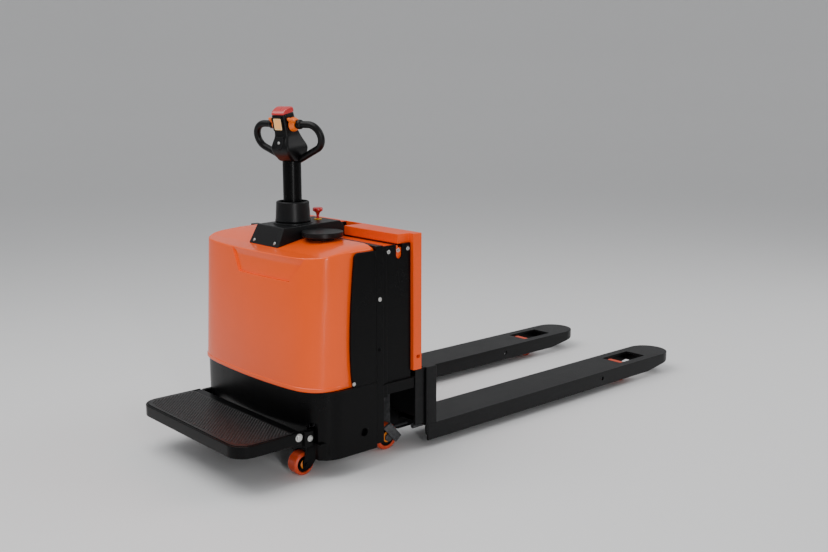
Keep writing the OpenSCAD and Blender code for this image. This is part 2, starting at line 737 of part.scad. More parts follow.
// Head of the tiller: a leaning body that flares at its foot
module head_shell() {
    w = head_w / 2;
    z = head_z;
    color("#1c1c1e") place() on_steering() difference() {
        intersection() {
            side_cut([[-30, z], [26, z], [44, z + 40], [6, z + 96], [-17, z + 164],
                [-66, z + 150], [-52, z + 82], [-60, z + 60], [-62, z + 40]], -w - 20, w + 20);
            front_cut([[-31, z - 3], [-w - 10, z + 40], [-w, z + 84], [-w, z + 170],
                [w, z + 170], [w, z + 84], [w + 10, z + 40], [31, z - 3]], -80, 80);
        }
        // Seat of the red button in the top
        head_top_seat(2, -1.6);
        // Bore of the throttle's axle
        translate([-24, 40, z + 118]) rotate([90, 0, 0]) cylinder(r = tube_r + 2, h = 80);
        // Window of the display
        translate([-64, 0, z + 118]) rotate([0, -12, 0]) cube([6, 32, 38], center = true);
        // Wells of the finger buttons in the rear face
        for (p = finger_buttons()) finger_button_at(p) translate([0, 0, -10]) cylinder(r = 6.3, h = 40);
    }
}

// Where the finger buttons sit on the head's rear face: side and height above the head's foot
function finger_buttons() = [[-14, 76], [14, 76], [0, 112]];

module finger_button_at(p) {
    lean = atan2(23, 68);
    x = (p[1] < 96) ? 6 + (96 - p[1]) * 38 / 56 : 6 - (p[1] - 96) * 23 / 68;
    steep = (p[1] < 96) ? atan2(38, 56) : lean;
    translate([x, p[0], head_z + p[1]]) rotate([0, 90 - steep, 0]) children();
}

module finger_button(p) {
    finger_button_at(p) translate([0, 0, -5]) cylinder(r = 6, h = 9);
}

// The wedge on top of the head that the red button fills
module head_top_seat(clear, lift_z) {
    w = head_w / 2;
    z = head_z;
    side_cut([[-90, z + 143.8 + lift_z], [10, z + 164.6 + lift_z], [10, z + 190], [-90, z + 190]],
        -w - clear, w + clear);
}

// Red reversing button on top of the head
module belly_button() {
    w = head_w / 2 - 0.5;
    z = head_z;
    color("#d8342c") place() on_steering() union() {
        side_cut([[-65, z + 149], [-17, z + 159], [-18, z + 171], [-34, z + 175], [-52, z + 172],
            [-63, z + 163]], -w, w);
    }
}

// Two closed loops of tube, one on each side of the head: out, round and back to its foot
module handle_loops() {
    bend_r = 42;
    fall = 64.4;
    bend_y = loop_half - bend_r;
    color("#1c1c1e") place() on_steering() translate([-24, 0, head_z + 118]) rotate([0, -16, 0])
        both_sides() {
            translate([0, head_w / 2 + 1, 0]) rotate([-90, 0, 0])
                cylinder(r = tube_r, h = bend_y - head_w / 2 - 1 - fit);
            translate([0, bend_y, -bend_r]) rotate([90, 0, 90]) rotate([0, 0, -fall])
                rotate_extrude(angle = 90 + fall) translate([bend_r, 0]) circle(r = tube_r);
            translate([0, bend_y + bend_r * cos(fall), -bend_r - bend_r * sin(fall)])
                rotate([180 - fall, 0, 0]) translate([0, 0, fit]) cylinder(r = tube_r, h = 88);
        }
}

module display() {
    color("#f0c890") place() on_steering() translate([-64, 0, head_z + 118]) rotate([0, -12, 0])
        translate([1, 0, 0]) cube([4, 31, 37], center = true);
}

// Butterfly throttle: a thumb wheel each side on one axle
module throttle() {
    w = head_w / 2;
    color("#ff6a10") place() on_steering() translate([-24, 0, head_z + 118]) union() {
        difference() {
            rotate([90, 0, 0]) translate([0, 0, -w - 24]) cylinder(r = tube_r + 2 - fit, h = 2 * w + 48);
            rotate([90, 0, 0]) translate([0, 0, w + 0.7]) cylinder(r = tube_r + fit, h = 60);
            rotate([90, 0, 0]) translate([0, 0, -w - 60.7]) cylinder(r = tube_r + fit, h = 60);
        }
        for (s = [-1, 1]) difference() {
            union() {
                translate([0, s * (w + 9), 0]) rotate([90, 0, 0]) cylinder(r = 24, h = 16, center = true);
                translate([0, s * (w + 14), 0]) rotate([0, 28, 0]) translate([-40, -7, -7]) cube([40, 14, 14]);
            }
            translate([0, s * (w + 9), 0]) rotate([90, 0, 0]) cylinder(r = tube_r + 1, h = 60, center = true);
        }
    }
}

module lift_button() { color("#ff6a10") place() on_steering() finger_button(finger_buttons()[0]); }
module lower_button() { color("#3a3b3d") place() on_steering() finger_button(finger_buttons()[1]); }
module horn_button() { color("#d9b32a") place() on_steering() finger_button(finger_buttons()[2]); }

// Mushroom stop button on its stem
module emergency_stop() {
    color("#c8453e") place() translate([steer_x + 100, 0, console_top]) rotate_extrude() polygon([
        [0, -30], [5, -30], [5, 12], [8, 22], [16, 27], [17, 34], [15, 38], [0, 39]]);
}

module ignition_key() {
    color("silver") place() translate([steer_x + 84, 48, console_top]) union() {
        translate([0, 0, -14]) cylinder(r = 3, h = 26);
        translate([-1.5, -11, 10]) cube([3, 22, 20]);
    }
}

// --------------------------------------------------------------- platform

module plat_plan(inset) {
    union() {
        translate([plat_x0 + plat_r, -plat_w / 2 + inset])
            square([plat_l - plat_r - (inset > 0 ? -1 : 0), plat_w - 2 * inset]);
        translate([plat_x0 + inset, -plat_w / 2 + plat_r]) square([plat_r + 20, plat_w - 2 * plat_r]);
        for (s = [-1, 1]) translate([plat_x0 + plat_r, s * (plat_w / 2 - plat_r)]) circle(r = plat_r - inset);
    }
}

module platform_pan() {
    color("#1b1b1d") place() difference() {
        translate([0, 0, plat_top - plat_rim]) linear_extrude(plat_rim) plat_plan(0);
        translate([0, 0, plat_top - plat_rim - 1]) linear_extrude(plat_rim - 6) plat_plan(plat_wall);
        translate([0, 0, plat_top - 3]) linear_extrude(10) difference() {
            plat_plan(8);
            translate([plat_x1 - 30, -plat_w]) square([60, 2 * plat_w]);
        }
        both_sides() {
            bar_y(hinge_x, plat_w / 2 - plat_wall - 5, hinge_z, pin_r + fit, 20);
            // Slot that the hinge ear swings through
            block(hinge_x - 20, plat_x1 + 1, plat_w / 2 - plat_wall - 2 * gap - ear_w, plat_w / 2 - plat_wall,
                plat_top - plat_rim - 1, plat_top + 1);
        }
    }
}

module platform_mat() {
    color("#2b2b2c") place() difference() {
        translate([0, 0, plat_top - 3]) linear_extrude(4.5) plat_plan(8.4);
        block(plat_x1 - 30.4, plat_x1 + 20, -plat_w, plat_w, 0, plat_top + 20);
    }
}

// ----------------------------------------------------------- small wheels

// Swivel fork: king pin, crown and two cheeks down to the axle
module caster_fork(s) {
    x = caster_x + caster_trail;
    y = caster_y;
    crown_z = plat_top - 56;
    color("#26272a") place() mirror([0, s < 0 ? 1 : 0, 0]) union() {
        bar_z(x, y, crown_z, 8 - fit, 15);
        bar_z(x, y, crown_z - 8, 26, 14);
        for (k = [-1, 1]) side_cut([[x - 24, crown_z - 2], [x + 24, crown_z - 2], [x + 24, crown_z - 34],
            [caster_x + 16, caster_r - 14], [caster_x - 10, caster_r - 14], [caster_x - 12, caster_r + 8]],
            y + k * (caster_w / 2 + 4) - 2.5, y + k * (caster_w / 2 + 4) + 2.5);
        translate([x - 24, y - caster_w / 2 - 6, crown_z - 7]) cube([48, caster_w + 12, 6]);
        bar_y(caster_x, y - caster_w / 2 - 10, caster_r, 6, caster_w + 20);
    }
}

module caster_fork_left() { caster_fork(1); }
module caster_fork_right() { caster_fork(-1); }

module caster_wheel(s) {
    color("#e8541c") place() translate([caster_x, s * caster_y, caster_r])
        wheel(caster_r, caster_w, 6 + fit);
}

module caster_wheel_left() { caster_wheel(1); }
module caster_wheel_right() { caster_wheel(-1); }

module support_wheel(s) {
    color("#e8541c") place() translate([support_x, s * (support_y - support_w / 2), support_r])
        wheel(support_r, support_w - 2, axle_r + fit);
}

module support_wheel_left() { support_wheel(1); }
module support_wheel_right() { support_wheel(-1); }

// ---------------------------------------------------------------- choice

chassis_frame();
skirt();
front_hood();
side_panel_left();
side_panel_right();
console_cover();
round_shelf();
key_switch();
motor_controller();
hydraulic_unit();
lift_cylinder();
slew_bearing();
hinge_brackets();
hinge_pins();
support_brackets();
body_screws();
fork_left();
fork_right();
fork_carriage();
battery_tray();
battery();
battery_panel_left();
battery_panel_right();
backrest();
battery_lid();
lid_grip();
panel_bolts();
lift_rod();
load_arm_left();
load_arm_right();
load_wheel_left();
load_wheel_right();
push_rods();
steer_column();
drive_gearbox();
traction_motor();
drive_hub();
drive_tyre();
tiller_boot();
tilt_pin();
tiller_shaft();
head_shell();
handle_loops();
display();
throttle();
belly_button();
lift_button();
lower_button();
horn_button();
emergency_stop();
ignition_key();
platform_pan();
platform_mat();
caster_fork_left();
caster_fork_right();
caster_wheel_left();
caster_wheel_right();
support_wheel_left();
support_wheel_right();
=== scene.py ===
import json
import logging
import math
from collections.abc import Callable, Iterable, Sequence
from dataclasses import dataclass, field
from enum import Enum

import bmesh
import bpy
from mathutils import Matrix, Vector

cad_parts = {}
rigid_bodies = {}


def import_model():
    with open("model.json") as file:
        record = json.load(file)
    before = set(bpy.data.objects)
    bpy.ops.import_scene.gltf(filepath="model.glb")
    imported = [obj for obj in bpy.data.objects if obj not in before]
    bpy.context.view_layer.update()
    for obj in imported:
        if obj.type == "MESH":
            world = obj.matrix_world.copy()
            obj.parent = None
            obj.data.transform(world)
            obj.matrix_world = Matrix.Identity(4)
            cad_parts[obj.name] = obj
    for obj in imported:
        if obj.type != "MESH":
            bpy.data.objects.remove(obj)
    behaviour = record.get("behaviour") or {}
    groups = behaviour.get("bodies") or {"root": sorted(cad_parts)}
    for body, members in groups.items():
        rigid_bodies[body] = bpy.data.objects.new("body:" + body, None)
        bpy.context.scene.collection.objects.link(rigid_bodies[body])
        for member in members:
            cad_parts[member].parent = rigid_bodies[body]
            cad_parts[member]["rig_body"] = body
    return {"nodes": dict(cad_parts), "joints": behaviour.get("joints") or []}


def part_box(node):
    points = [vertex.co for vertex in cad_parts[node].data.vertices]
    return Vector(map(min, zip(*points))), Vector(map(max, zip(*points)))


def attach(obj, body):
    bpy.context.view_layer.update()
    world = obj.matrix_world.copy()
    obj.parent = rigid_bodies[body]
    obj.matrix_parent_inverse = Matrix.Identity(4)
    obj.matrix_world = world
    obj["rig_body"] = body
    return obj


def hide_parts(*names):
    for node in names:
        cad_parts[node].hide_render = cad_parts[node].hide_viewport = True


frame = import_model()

LOG = logging.getLogger("pallet_truck")
MM = 0.001
AXLE_BORE = 0.00805
CASTER_BORE = 0.00605
Point = tuple[float, float, float]
Pair = tuple[float, float]
Colour = tuple[float, float, float]


# ------------------------------------------------------------------ shader maths


class Sock:
    """A shader socket whose sums, differences, products and quotients are Math nodes."""

    def __init__(self, graph: "Graph", socket: bpy.types.NodeSocket) -> None:
        """Keeps the graph and one output socket of it."""
        self.graph = graph
        self.socket = socket

    def _math(self, operation: str, first: object, second: object) -> "Sock":
        """Adds one Math node with two operands."""
        return self.graph.node("ShaderNodeMath", {"operation": operation}, {0: first, 1: second})

    def __add__(self, other: object) -> "Sock":
        """Sum."""
        return self._math("ADD", self, other)

    __radd__ = __add__

    def __sub__(self, other: object) -> "Sock":
        """Difference."""
        return self._math("SUBTRACT", self, other)

    def __rsub__(self, other: object) -> "Sock":
        """Difference from a number."""
        return self._math("SUBTRACT", other, self)

    def __mul__(self, other: object) -> "Sock":
        """Product."""
        return self._math("MULTIPLY", self, other)

    __rmul__ = __mul__

    def clamp(self, low: float, high: float) -> "Sock":
        """The value's share of the way from low to high, held between 0 and 1."""
        return self.graph.node("ShaderNodeMapRange", {"clamp": True},
                               {"Value": self, "From Min": low, "From Max": high})


@dataclass
class Graph:
    """A material's node tree and the one way nodes are added to it."""

    tree: bpy.types.NodeTree

    def node(self, kind: str, settings: dict[str, object] | None = None,
             sockets: dict[object, object] | None = None, out: object = 0) -> Sock:
        """Adds a node.

        Args:
            kind: The node's Blender type.
            settings: Properties that are set first; "stops" sets a ramp's stops.
            sockets: Input sockets by name or number, with a value or a Sock to link.
            out: The output that is wanted, by name or number.

        Returns:
            The wanted output.
        """
        made = self.tree.nodes.new(kind)
        for key, value in (settings or {}).items():
            if key == "stops":
                ramp = made.color_ramp.elements
                while len(ramp) < len(value):
                    ramp.new(0.5)
                for element, (place, colour) in zip(ramp, value):
                    element.position, element.color = place, (*colour, 1.0)
            else:
                setattr(made, key, value)
        for key, value in (sockets or {}).items():
            target = made.inputs[key]
            if isinstance(value, Sock):
                self.tree.links.new(value.socket, target)
            else:
                target.default_value = value
        return Sock(self, made.outputs[out])

    def mix(self, share: object, first: object, second: object) -> Sock:
        """Mixes two colours, given as sockets or as three numbers."""
        full = [c if isinstance(c, Sock) else (*c, 1.0) for c in (first, second)]
        return self.node("ShaderNodeMix", {"data_type": "RGBA"},
                         {0: share, 6: full[0], 7: full[1]}, out=2)


class Grain(Enum):
    """The fine relief of a surface, as the noise's scale and the bump's distance in metres."""

    GLAZE = (260.0, 0.00004)
    POWDER = (900.0, 0.00007)
    MOULDED = (1500.0, 0.00006)
    CAST = (420.0, 0.00022)
    BRUSHED = (1400.0, 0.00003)
    RUBBER = (650.0, 0.00012)


@dataclass(frozen=True)
class Finish:
    """One finish, with its colour, gloss, grain, rubbed edges and dust."""

    name: str
    slot: str
    colour: Colour
    rough: float = 0.45
    metal: float = 0.0
    coat: float = 0.0
    grain: Grain = Grain.MOULDED
    vary: float = 0.25
    edge: Colour = (0.10, 0.10, 0.105)
    rub: float = 0.0
    dust: float = 0.0
    streaks: float = 0.0
    glow: float = 0.0
    specular: float = 0.5

    def material(self) -> bpy.types.Material:
        """Gives the finish's material, made once.

        Returns:
            The material, with every pattern from nodes in the object's own coordinates.
        """
        found = bpy.data.materials.get(self.name)
        if found:
            return found
        made = bpy.data.materials.new(self.name)
        made.use_nodes = True
        made.diffuse_color = (*self.colour, 1.0)
        graph = Graph(made.node_tree)
        shader = next(n for n in graph.tree.nodes if n.type == "BSDF_PRINCIPLED")
        place = graph.node("ShaderNodeTexCoord", out="Object")
        broad = graph.node("ShaderNodeTexNoise", None,
                           {"Vector": place, "Scale": 7.0, "Detail": 6.0, "Roughness": 0.6})
        spots = graph.node("ShaderNodeTexNoise", None,
                           {"Vector": place, "Scale": 85.0, "Detail": 4.0, "Roughness": 0.65})
        scale, depth = self.grain.value
        fine = graph.node("ShaderNodeTexNoise", None,
                          {"Vector": place, "Scale": scale, "Detail": 2.0, "Roughness": 0.5})
        low = tuple(c * 0.72 for c in self.colour)
        colour = graph.mix(broad.clamp(0.35, 0.75) * self.vary, self.colour, low)
        rough = (broad - 0.5) * 0.12 + (spots - 0.5) * 0.10 + self.rough
        if self.streaks:
            stretched = graph.node("ShaderNodeMapping", None,
                                   {"Vector": place, "Scale": (3.0, 120.0, 40.0)})
            lines = graph.node("ShaderNodeTexNoise", None,
                               {"Vector": stretched, "Scale": 1.6, "Detail": 5.0, "Roughness": 0.7})
            streak = lines.clamp(0.56, 0.78) * self.streaks
            colour = graph.mix(streak, colour, self.edge)
            rough = rough - streak * 0.15
        if self.rub:
            corner = graph.node("ShaderNodeNewGeometry", out="Pointiness")
            worn = corner.clamp(0.515, 0.60) * spots.clamp(0.38, 0.62) * self.rub
            colour = graph.mix(worn, colour, self.edge)
            rough = rough - worn * 0.12
        if self.dust:
            up = graph.node("ShaderNodeSeparateXYZ", None,
                            {0: graph.node("ShaderNodeNewGeometry", out="Normal")}, out=2)
            lying = up.clamp(0.35, 1.0) * broad.clamp(0.30, 0.80) * spots.clamp(0.30, 0.75) * self.dust
            colour = graph.mix(lying, colour, (0.30, 0.28, 0.26))
            rough = rough + lying * 0.3
        bump = graph.node("ShaderNodeBump", None,
                          {"Strength": 1.0, "Distance": depth, "Height": fine + broad * 0.5})
        links = graph.tree.links
        links.new(colour.socket, shader.inputs["Base Color"])
        links.new(rough.socket, shader.inputs["Roughness"])
        links.new(bump.socket, shader.inputs["Normal"])
        shader.inputs["Metallic"].default_value = self.metal
        shader.inputs["Coat Weight"].default_value = self.coat
        shader.inputs["Coat Roughness"].default_value = 0.06
        shader.inputs["Specular IOR Level"].default_value = self.specular
        if self.glow:
            links.new(colour.socket, shader.inputs["Emission Color"])
            shader.inputs["Emission Strength"].default_value = self.glow
        return made


@dataclass(frozen=True)
class Finishes:
    """Every finish of the truck."""

    orange: Finish = Finish("orange_gloss_cover", "orange_plastic", (0.95, 0.092, 0.0), rough=0.24,
                            coat=0.35, grain=Grain.GLAZE, vary=0.12, specular=0.22)
    orange_steel: Finish = Finish("orange_coated_steel", "orange_paint", (0.90, 0.076, 0.0), rough=0.32,
                                  coat=0.1, specular=0.22, grain=Grain.GLAZE, vary=0.15,
                                  edge=(0.55, 0.12, 0.03), rub=0.4)
    black: Finish = Finish("black_powder_coat", "black_paint", (0.0014, 0.0014, 0.0016), rough=0.30,
                           grain=Grain.POWDER, dust=0.006, specular=0.12)
    fork: Finish = Finish("fork_powder_coat", "fork_paint", (0.0028, 0.0029, 0.0032), rough=0.36,
                          grain=Grain.POWDER, edge=(0.03, 0.031, 0.033), rub=0.2, dust=0.02, streaks=0.25,
                          specular=0.18)
    cover: Finish = Finish("black_moulded_cover", "black_plastic", (0.0048, 0.0050, 0.0055), rough=0.38,
                           dust=0.015, specular=0.22)
    grip: Finish = Finish("black_gloss_grip", "grip_plastic", (0.0022, 0.0022, 0.0025), rough=0.36,
                          specular=0.22)
    zinc: Finish = Finish("zinc_plate", "zinc", (0.60, 0.60, 0.58), rough=0.34, metal=1.0,
                          grain=Grain.BRUSHED, vary=0.5)
    link: Finish = Finish("grey_link_steel", "link_steel", (0.030, 0.031, 0.033), rough=0.42, metal=0.2,
                          grain=Grain.POWDER, edge=(0.16, 0.16, 0.165), rub=0.6)
    casting: Finish = Finish("machined_casting", "castings", (0.10, 0.104, 0.11), rough=0.48, metal=0.7,
                             grain=Grain.CAST, edge=(0.4, 0.4, 0.4), rub=0.5)
    motor: Finish = Finish("motor_enamel", "motor_paint", (0.03, 0.032, 0.035), rough=0.5, grain=Grain.CAST)
    battery: Finish = Finish("battery_case", "battery_case", (0.03, 0.033, 0.04), rough=0.5, dust=0.1)
    tread: Finish = Finish("orange_cast_tread", "wheel_poly", (0.62, 0.055, 0.012), rough=0.38,
                           grain=Grain.RUBBER, vary=0.4, edge=(0.75, 0.13, 0.03), rub=0.4, dust=0.05)
    hub: Finish = Finish("amber_hub", "load_poly", (0.80, 0.22, 0.012), rough=0.36,
                         grain=Grain.RUBBER, vary=0.3)
    tyre: Finish = Finish("drive_rubber", "drive_rubber", (0.014, 0.014, 0.015), rough=0.7,
                          grain=Grain.RUBBER, dust=0.15)
    mat: Finish = Finish("dotted_mat_rubber", "mat_rubber", (0.006, 0.006, 0.0065), rough=0.34,
                         grain=Grain.RUBBER, edge=(0.06, 0.06, 0.06), rub=0.35, dust=0.05, specular=0.35)
    red: Finish = Finish("red_gloss_button", "red_plastic", (0.52, 0.018, 0.020), rough=0.28, coat=0.3,
                         grain=Grain.GLAZE, vary=0.15)
    switch: Finish = Finish("orange_satin_switch", "orange_switch", (0.90, 0.16, 0.006), rough=0.33, vary=0.2)
    screen: Finish = Finish("lit_screen", "display_glass", (0.84, 0.40, 0.11), rough=0.2, coat=0.2,
                            grain=Grain.GLAZE, vary=0.1, glow=0.35)
    bezel: Finish = Finish("pale_screen_border", "display_glass", (0.84, 0.55, 0.25), rough=0.3,
                           grain=Grain.GLAZE, vary=0.1, glow=0.15)
    grey: Finish = Finish("grey_button", "grey_plastic", (0.07, 0.07, 0.075), rough=0.4)
    yellow: Finish = Finish("yellow_button", "yellow_plastic", (0.62, 0.33, 0.012), rough=0.35)


FINISH = Finishes()


# ------------------------------------------------------------------ shapes


def linked(name: str, data: bpy.types.ID) -> bpy.types.Object:
    """Gives a new object with some data, in the scene."""
    made = bpy.data.objects.new(name, data)
    bpy.context.scene.collection.objects.link(made)
    return made


class Shape:
    """Points and faces that a piece is made of, in the row frame and in metres."""

    def __init__(self) -> None:
        """Starts with nothing."""
        self.points: list[Vector] = []
        self.faces: list[tuple[int, ...]] = []

    def sheet(self, rows: Sequence[Sequence[Vector]], ring: bool = False,
              keep: Callable[[int, int], bool] | None = None) -> "Shape":
        """Adds a sheet of four-sided faces.

        Args:
            rows: Rows of points, all of one length.
            ring: Whether each row closes on itself.
            keep: Says for a row and a column whether that face is made.

        Returns:
            This shape.
        """
        start, width = len(self.points), len(rows[0])
        for row in rows:
            self.points.extend(Vector(p) for p in row)
        for r in range(len(rows) - 1):
            for c in range(width if ring else width - 1):
                if keep and not keep(r, c):
                    continue
                a, b = start + r * width + c, start + r * width + (c + 1) % width
                self.faces.append((a, b, b + width, a + width))
        return self

    def lathe(self, profile: Sequence[Pair], at: Matrix, sides: int = 64) -> "Shape":
        """Adds a turned body about the local Z axis.

        Args:
            profile: Pairs of radius and height in metres, from one end to the other.
            at: Where the local axes go.
            sides: How many sides a turn has.

        Returns:
            This shape.
        """
        rows = []
        for radius, height in profile:
            r = max(radius, 1e-5)
            rows.append([at @ Vector((r * math.cos(2 * math.pi * i / sides),
                                      r * math.sin(2 * math.pi * i / sides), height)) for i in range(sides)])
        return self.sheet(rows, ring=True)

    def tube(self, path: Sequence[Vector], radius: Callable[[float], float], sides: int = 20) -> "Shape":
        """Adds a closed round tube along a path.

        Args:
            path: The points of its centre line.
            radius: The radius at a share of the way along.
            sides: How many sides it has.

        Returns:
            This shape.
        """
        rows, up = [], Vector((0.35, 0.1, 1.0))
        last = len(path) - 1
        for i, p in enumerate(path):
            along = (path[min(i + 1, last)] - path[max(i - 1, 0)]).normalized()
            side = along.cross(up).normalized()
            up = side.cross(along).normalized()
            r = radius(i / last)
            rows.append([p + (side * math.cos(2 * math.pi * k / sides)
                              + up * math.sin(2 * math.pi * k / sides)) * r for k in range(sides)])
        rows = [[path[0]] * sides, *rows, [path[-1]] * sides]
        return self.sheet(rows, ring=True)

    def plate(self, outline: Sequence[Pair], low: float, high: float, at: Matrix) -> "Shape":
        """Adds a flat plate.

        Args:
            outline: Its corners in the local X-Y plane.
            low: The lower height along local Z.
            high: The upper height along local Z.
            at: Where the local axes go.

        Returns:
            This shape.
        """
        start, n = len(self.points), len(outline)
        for h in (low, high):
            self.points.extend(at @ Vector((a, b, h)) for a, b in outline)
        self.faces.append(tuple(range(start + n - 1, start - 1, -1)))
        self.faces.append(tuple(range(start + n, start + 2 * n)))
        for i in range(n):
            j = (i + 1) % n
            self.faces.append((start + i, start + j, start + n + j, start + n + i))
        return self

    def dome(self, centre: Vector, radius: float, rise: float, sides: int = 8) -> "Shape":
        """Adds a low stud that stands on the X-Y plane.

        Args:
            centre: The middle of its foot.
            radius: The foot's radius.
            rise: How high it stands.
            sides: How many sides it has.

        Returns:
            This shape.
        """
        steps = ((1.0, -0.4), (1.0, 0.0), (0.80, 0.72), (0.45, 1.0))
        start, top = len(self.points), (len(steps) - 1) * sides
        self.lathe([(radius * share, rise * high) for share, high in steps], Matrix.Translation(centre), sides)
        self.faces.append(tuple(start + top + i for i in range(sides)))
        self.faces.append(tuple(start + i for i in reversed(range(sides))))
        return self

    def rod(self, at: Matrix, radius: float, low: float, high: float, sides: int) -> "Shape":
        """Adds a plain round rod along the local Z axis."""
        return self.lathe([(0.0, low), (radius, low), (radius, high), (0.0, high)], at, sides)

    def placed(self, name: str) -> bpy.types.Object:
        """Gives an object with this shape as its mesh, in the scene."""
        mesh = bpy.data.meshes.new(name)
        mesh.from_pydata([tuple(p) for p in self.points], [], self.faces)
        return linked(name, mesh)


def rounded(width: float, height: float, radius: float, steps: int = 5) -> list[Pair]:
    """Outline of a rectangle with round corners, about its middle."""
    out = []
    for k, (sx, sy) in enumerate(((1, 1), (-1, 1), (-1, -1), (1, -1))):
        for i in range(steps + 1):
            a = math.pi / 2 * (k + i / steps)
            out.append((sx * (width / 2 - radius) + radius * math.cos(a),
                        sy * (height / 2 - radius) + radius * math.sin(a)))
    return out


def share_of(value: float, low: float, span: float) -> float:
    """How far a value is from low on the way along a span, held between 0 and 1."""
    return max(0.0, min(1.0, (value - low) / span))


def spline(line: Sequence[Pair], i: int, t: float, axis: int) -> float:
    """Smooth value between two points of a line.

    Args:
        line: The line's points.
        i: The point before the place.
        t: The place's share of the way to the next point.
        axis: Which of a point's two values is wanted.

    Returns:
        The value.
    """
    p = [line[max(0, min(len(line) - 1, i + k))][axis] for k in (-1, 0, 1, 2)]
    return 0.5 * (2 * p[1] + (p[2] - p[0]) * t + (2 * p[0] - 5 * p[1] + 4 * p[2] - p[3]) * t * t
                  + (3 * p[1] - p[0] - 3 * p[2] + p[3]) * t ** 3)


def along_line(line: Sequence[Pair], at: float) -> float:
    """Value of a line of pairs at a place, smoothed between its points."""
    i = max(0, min(len(line) - 2, sum(1 for place, _ in line[1:-1] if place <= at)))
    return spline(line, i, (at - line[i][0]) / (line[i + 1][0] - line[i][0]), 1)


def both_halves(half: Sequence[Pair]) -> list[Pair]:
    """Closed profile of a turned ring that is the same on both sides, from its lower half."""
    return [*half, *[(r, -z) for r, z in reversed(half)], half[0]]


def turned(axis: Point, at: Vector) -> Matrix:
    """A place whose local Z axis points along axis."""
    return Matrix.Translation(at) @ Vector(axis).to_track_quat("Z", "Y").to_matrix().to_4x4()


def soften(mesh: bpy.types.Mesh, bevel: float, steps: int, sharp: float, merge: bool, clamp: bool) -> None:
    """Rounds a mesh's hard edges and smooths the rest.

    Args:
        mesh: The mesh that is changed.
        bevel: Width of the rounding in metres, or 0 for none.
        steps: Segments of the rounding.
        sharp: Angle in degrees above which an edge counts as hard.
        merge: Whether flat neighbours are joined first.
        clamp: Whether the rounding is held back where edges lie close.
    """
    made = bmesh.new()
    made.from_mesh(mesh)
    bmesh.ops.remove_doubles(made, verts=made.verts, dist=2e-6)
    if merge:
        bmesh.ops.dissolve_limit(made, angle_limit=math.radians(0.6), verts=made.verts, edges=made.edges)
    bmesh.ops.recalc_face_normals(made, faces=made.faces)
    hard = [e for e in made.edges if len(e.link_faces) == 2 and e.calc_face_angle(0) > math.radians(sharp)]
    if bevel and hard:
        bmesh.ops.bevel(made, geom=hard, offset=bevel, segments=steps, profile=0.5,
                        affect="EDGES", clamp_overlap=clamp, loop_slide=True)
    for face in made.faces:
        face.smooth = True
    for edge in made.edges:
        edge.smooth = edge.calc_face_angle(0) < math.radians(50)
    made.to_mesh(mesh)
    made.free()


@dataclass
class Maker:
    """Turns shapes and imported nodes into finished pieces."""

    made: list[str] = field(default_factory=list)

    def settle(self, piece: bpy.types.Object, body: str, finish: Finish,
               nodes: Iterable[str]) -> bpy.types.Object:
        """Dresses a piece and lets it ride.

        Args:
            piece: The object.
            body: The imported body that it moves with.
            finish: Its finish.
            nodes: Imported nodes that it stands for.

        Returns:
            The piece.
        """
        piece.data.materials.clear()
        piece.data.materials.append(finish.material())
        level = piece.modifiers.new("level", "WEIGHTED_NORMAL")
        level.keep_sharp = True
        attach(piece, body)
        nodes = list(nodes)
        if nodes:
            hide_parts(*nodes)
        self.made.append(piece.name)
        LOG.info("%s rides on %s", piece.name, body)
        return piece

    def build(self, name: str, shape: Shape, body: str, finish: Finish, nodes: Iterable[str] = (),
              bevel: float = 0.0, steps: int = 2, sharp: float = 35.0, wall: float = 0.0,
              cut: Shape | None = None) -> bpy.types.Object:
        """Makes a piece from a shape.

        Args:
            name: The piece's name.
            shape: Its points and faces.
            body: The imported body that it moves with.
            finish: Its finish.
            nodes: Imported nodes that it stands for.
            bevel: Width of its rounded edges in metres.
            steps: Segments of that rounding.
            sharp: Angle above which an edge counts as hard.
            wall: Wall thickness given to an open sheet, inwards.
            cut: A shape that is taken out of it.

        Returns:
            The piece.
        """
        piece = shape.placed(name)
        soften(piece.data, 0.0 if (wall or cut) else bevel, steps, sharp, False, False)
        if wall:
            thick = piece.modifiers.new("wall", "SOLIDIFY")
            thick.thickness, thick.offset = wall, -1.0
        if cut:
            tool = cut.placed(name + "_tool")
            soften(tool.data, 0.0, 1, 30, False, False)
            taken = piece.modifiers.new("cut", "BOOLEAN")
            taken.object, taken.operation, taken.solver = tool, "DIFFERENCE", "EXACT"
        if wall or cut:
            graph = bpy.context.evaluated_depsgraph_get()
            final = bpy.data.meshes.new_from_object(piece.evaluated_get(graph))
            piece.modifiers.clear()
            piece.data = final
            if cut:
                bpy.data.objects.remove(tool)
            soften(final, bevel, steps, sharp, bool(cut), True)
        return self.settle(piece, body, finish, nodes)

    def refine(self, node: str, finish: Finish, bevel: float = 0.0012, steps: int = 2,
               clamp: bool = False, sharp: float = 30.0,
               tuck: Callable[[Vector], Vector] | None = None) -> bpy.types.Object:
        """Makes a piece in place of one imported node, with its hard edges rounded.

        Args:
            node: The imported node.
            finish: The piece's finish.
            bevel: Width of the rounding in metres.
            steps: Segments of the rounding.
            clamp: Whether the rounding is held back where edges lie close.
            sharp: Angle above which an edge counts as hard.
            tuck: Moves a point that would stand out of another piece.

        Returns:
            The piece.
        """
        source = frame["nodes"][node]
        mesh = source.data.copy()
        if tuck:
            for point in mesh.vertices:
                point.co = tuck(point.co)
        mesh.name = node + "_finished"
        piece = linked(mesh.name, mesh)
        soften(mesh, bevel, steps, sharp, True, clamp)
        return self.settle(piece, source["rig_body"], finish, [node])

    def refine_all(self, rows: Iterable[tuple[str, Finish, float, int]]) -> None:
        """Refines several nodes, each given with its finish, bevel and steps."""
        for row in rows:
            self.refine(*row)


# ------------------------------------------------------------------ where things are


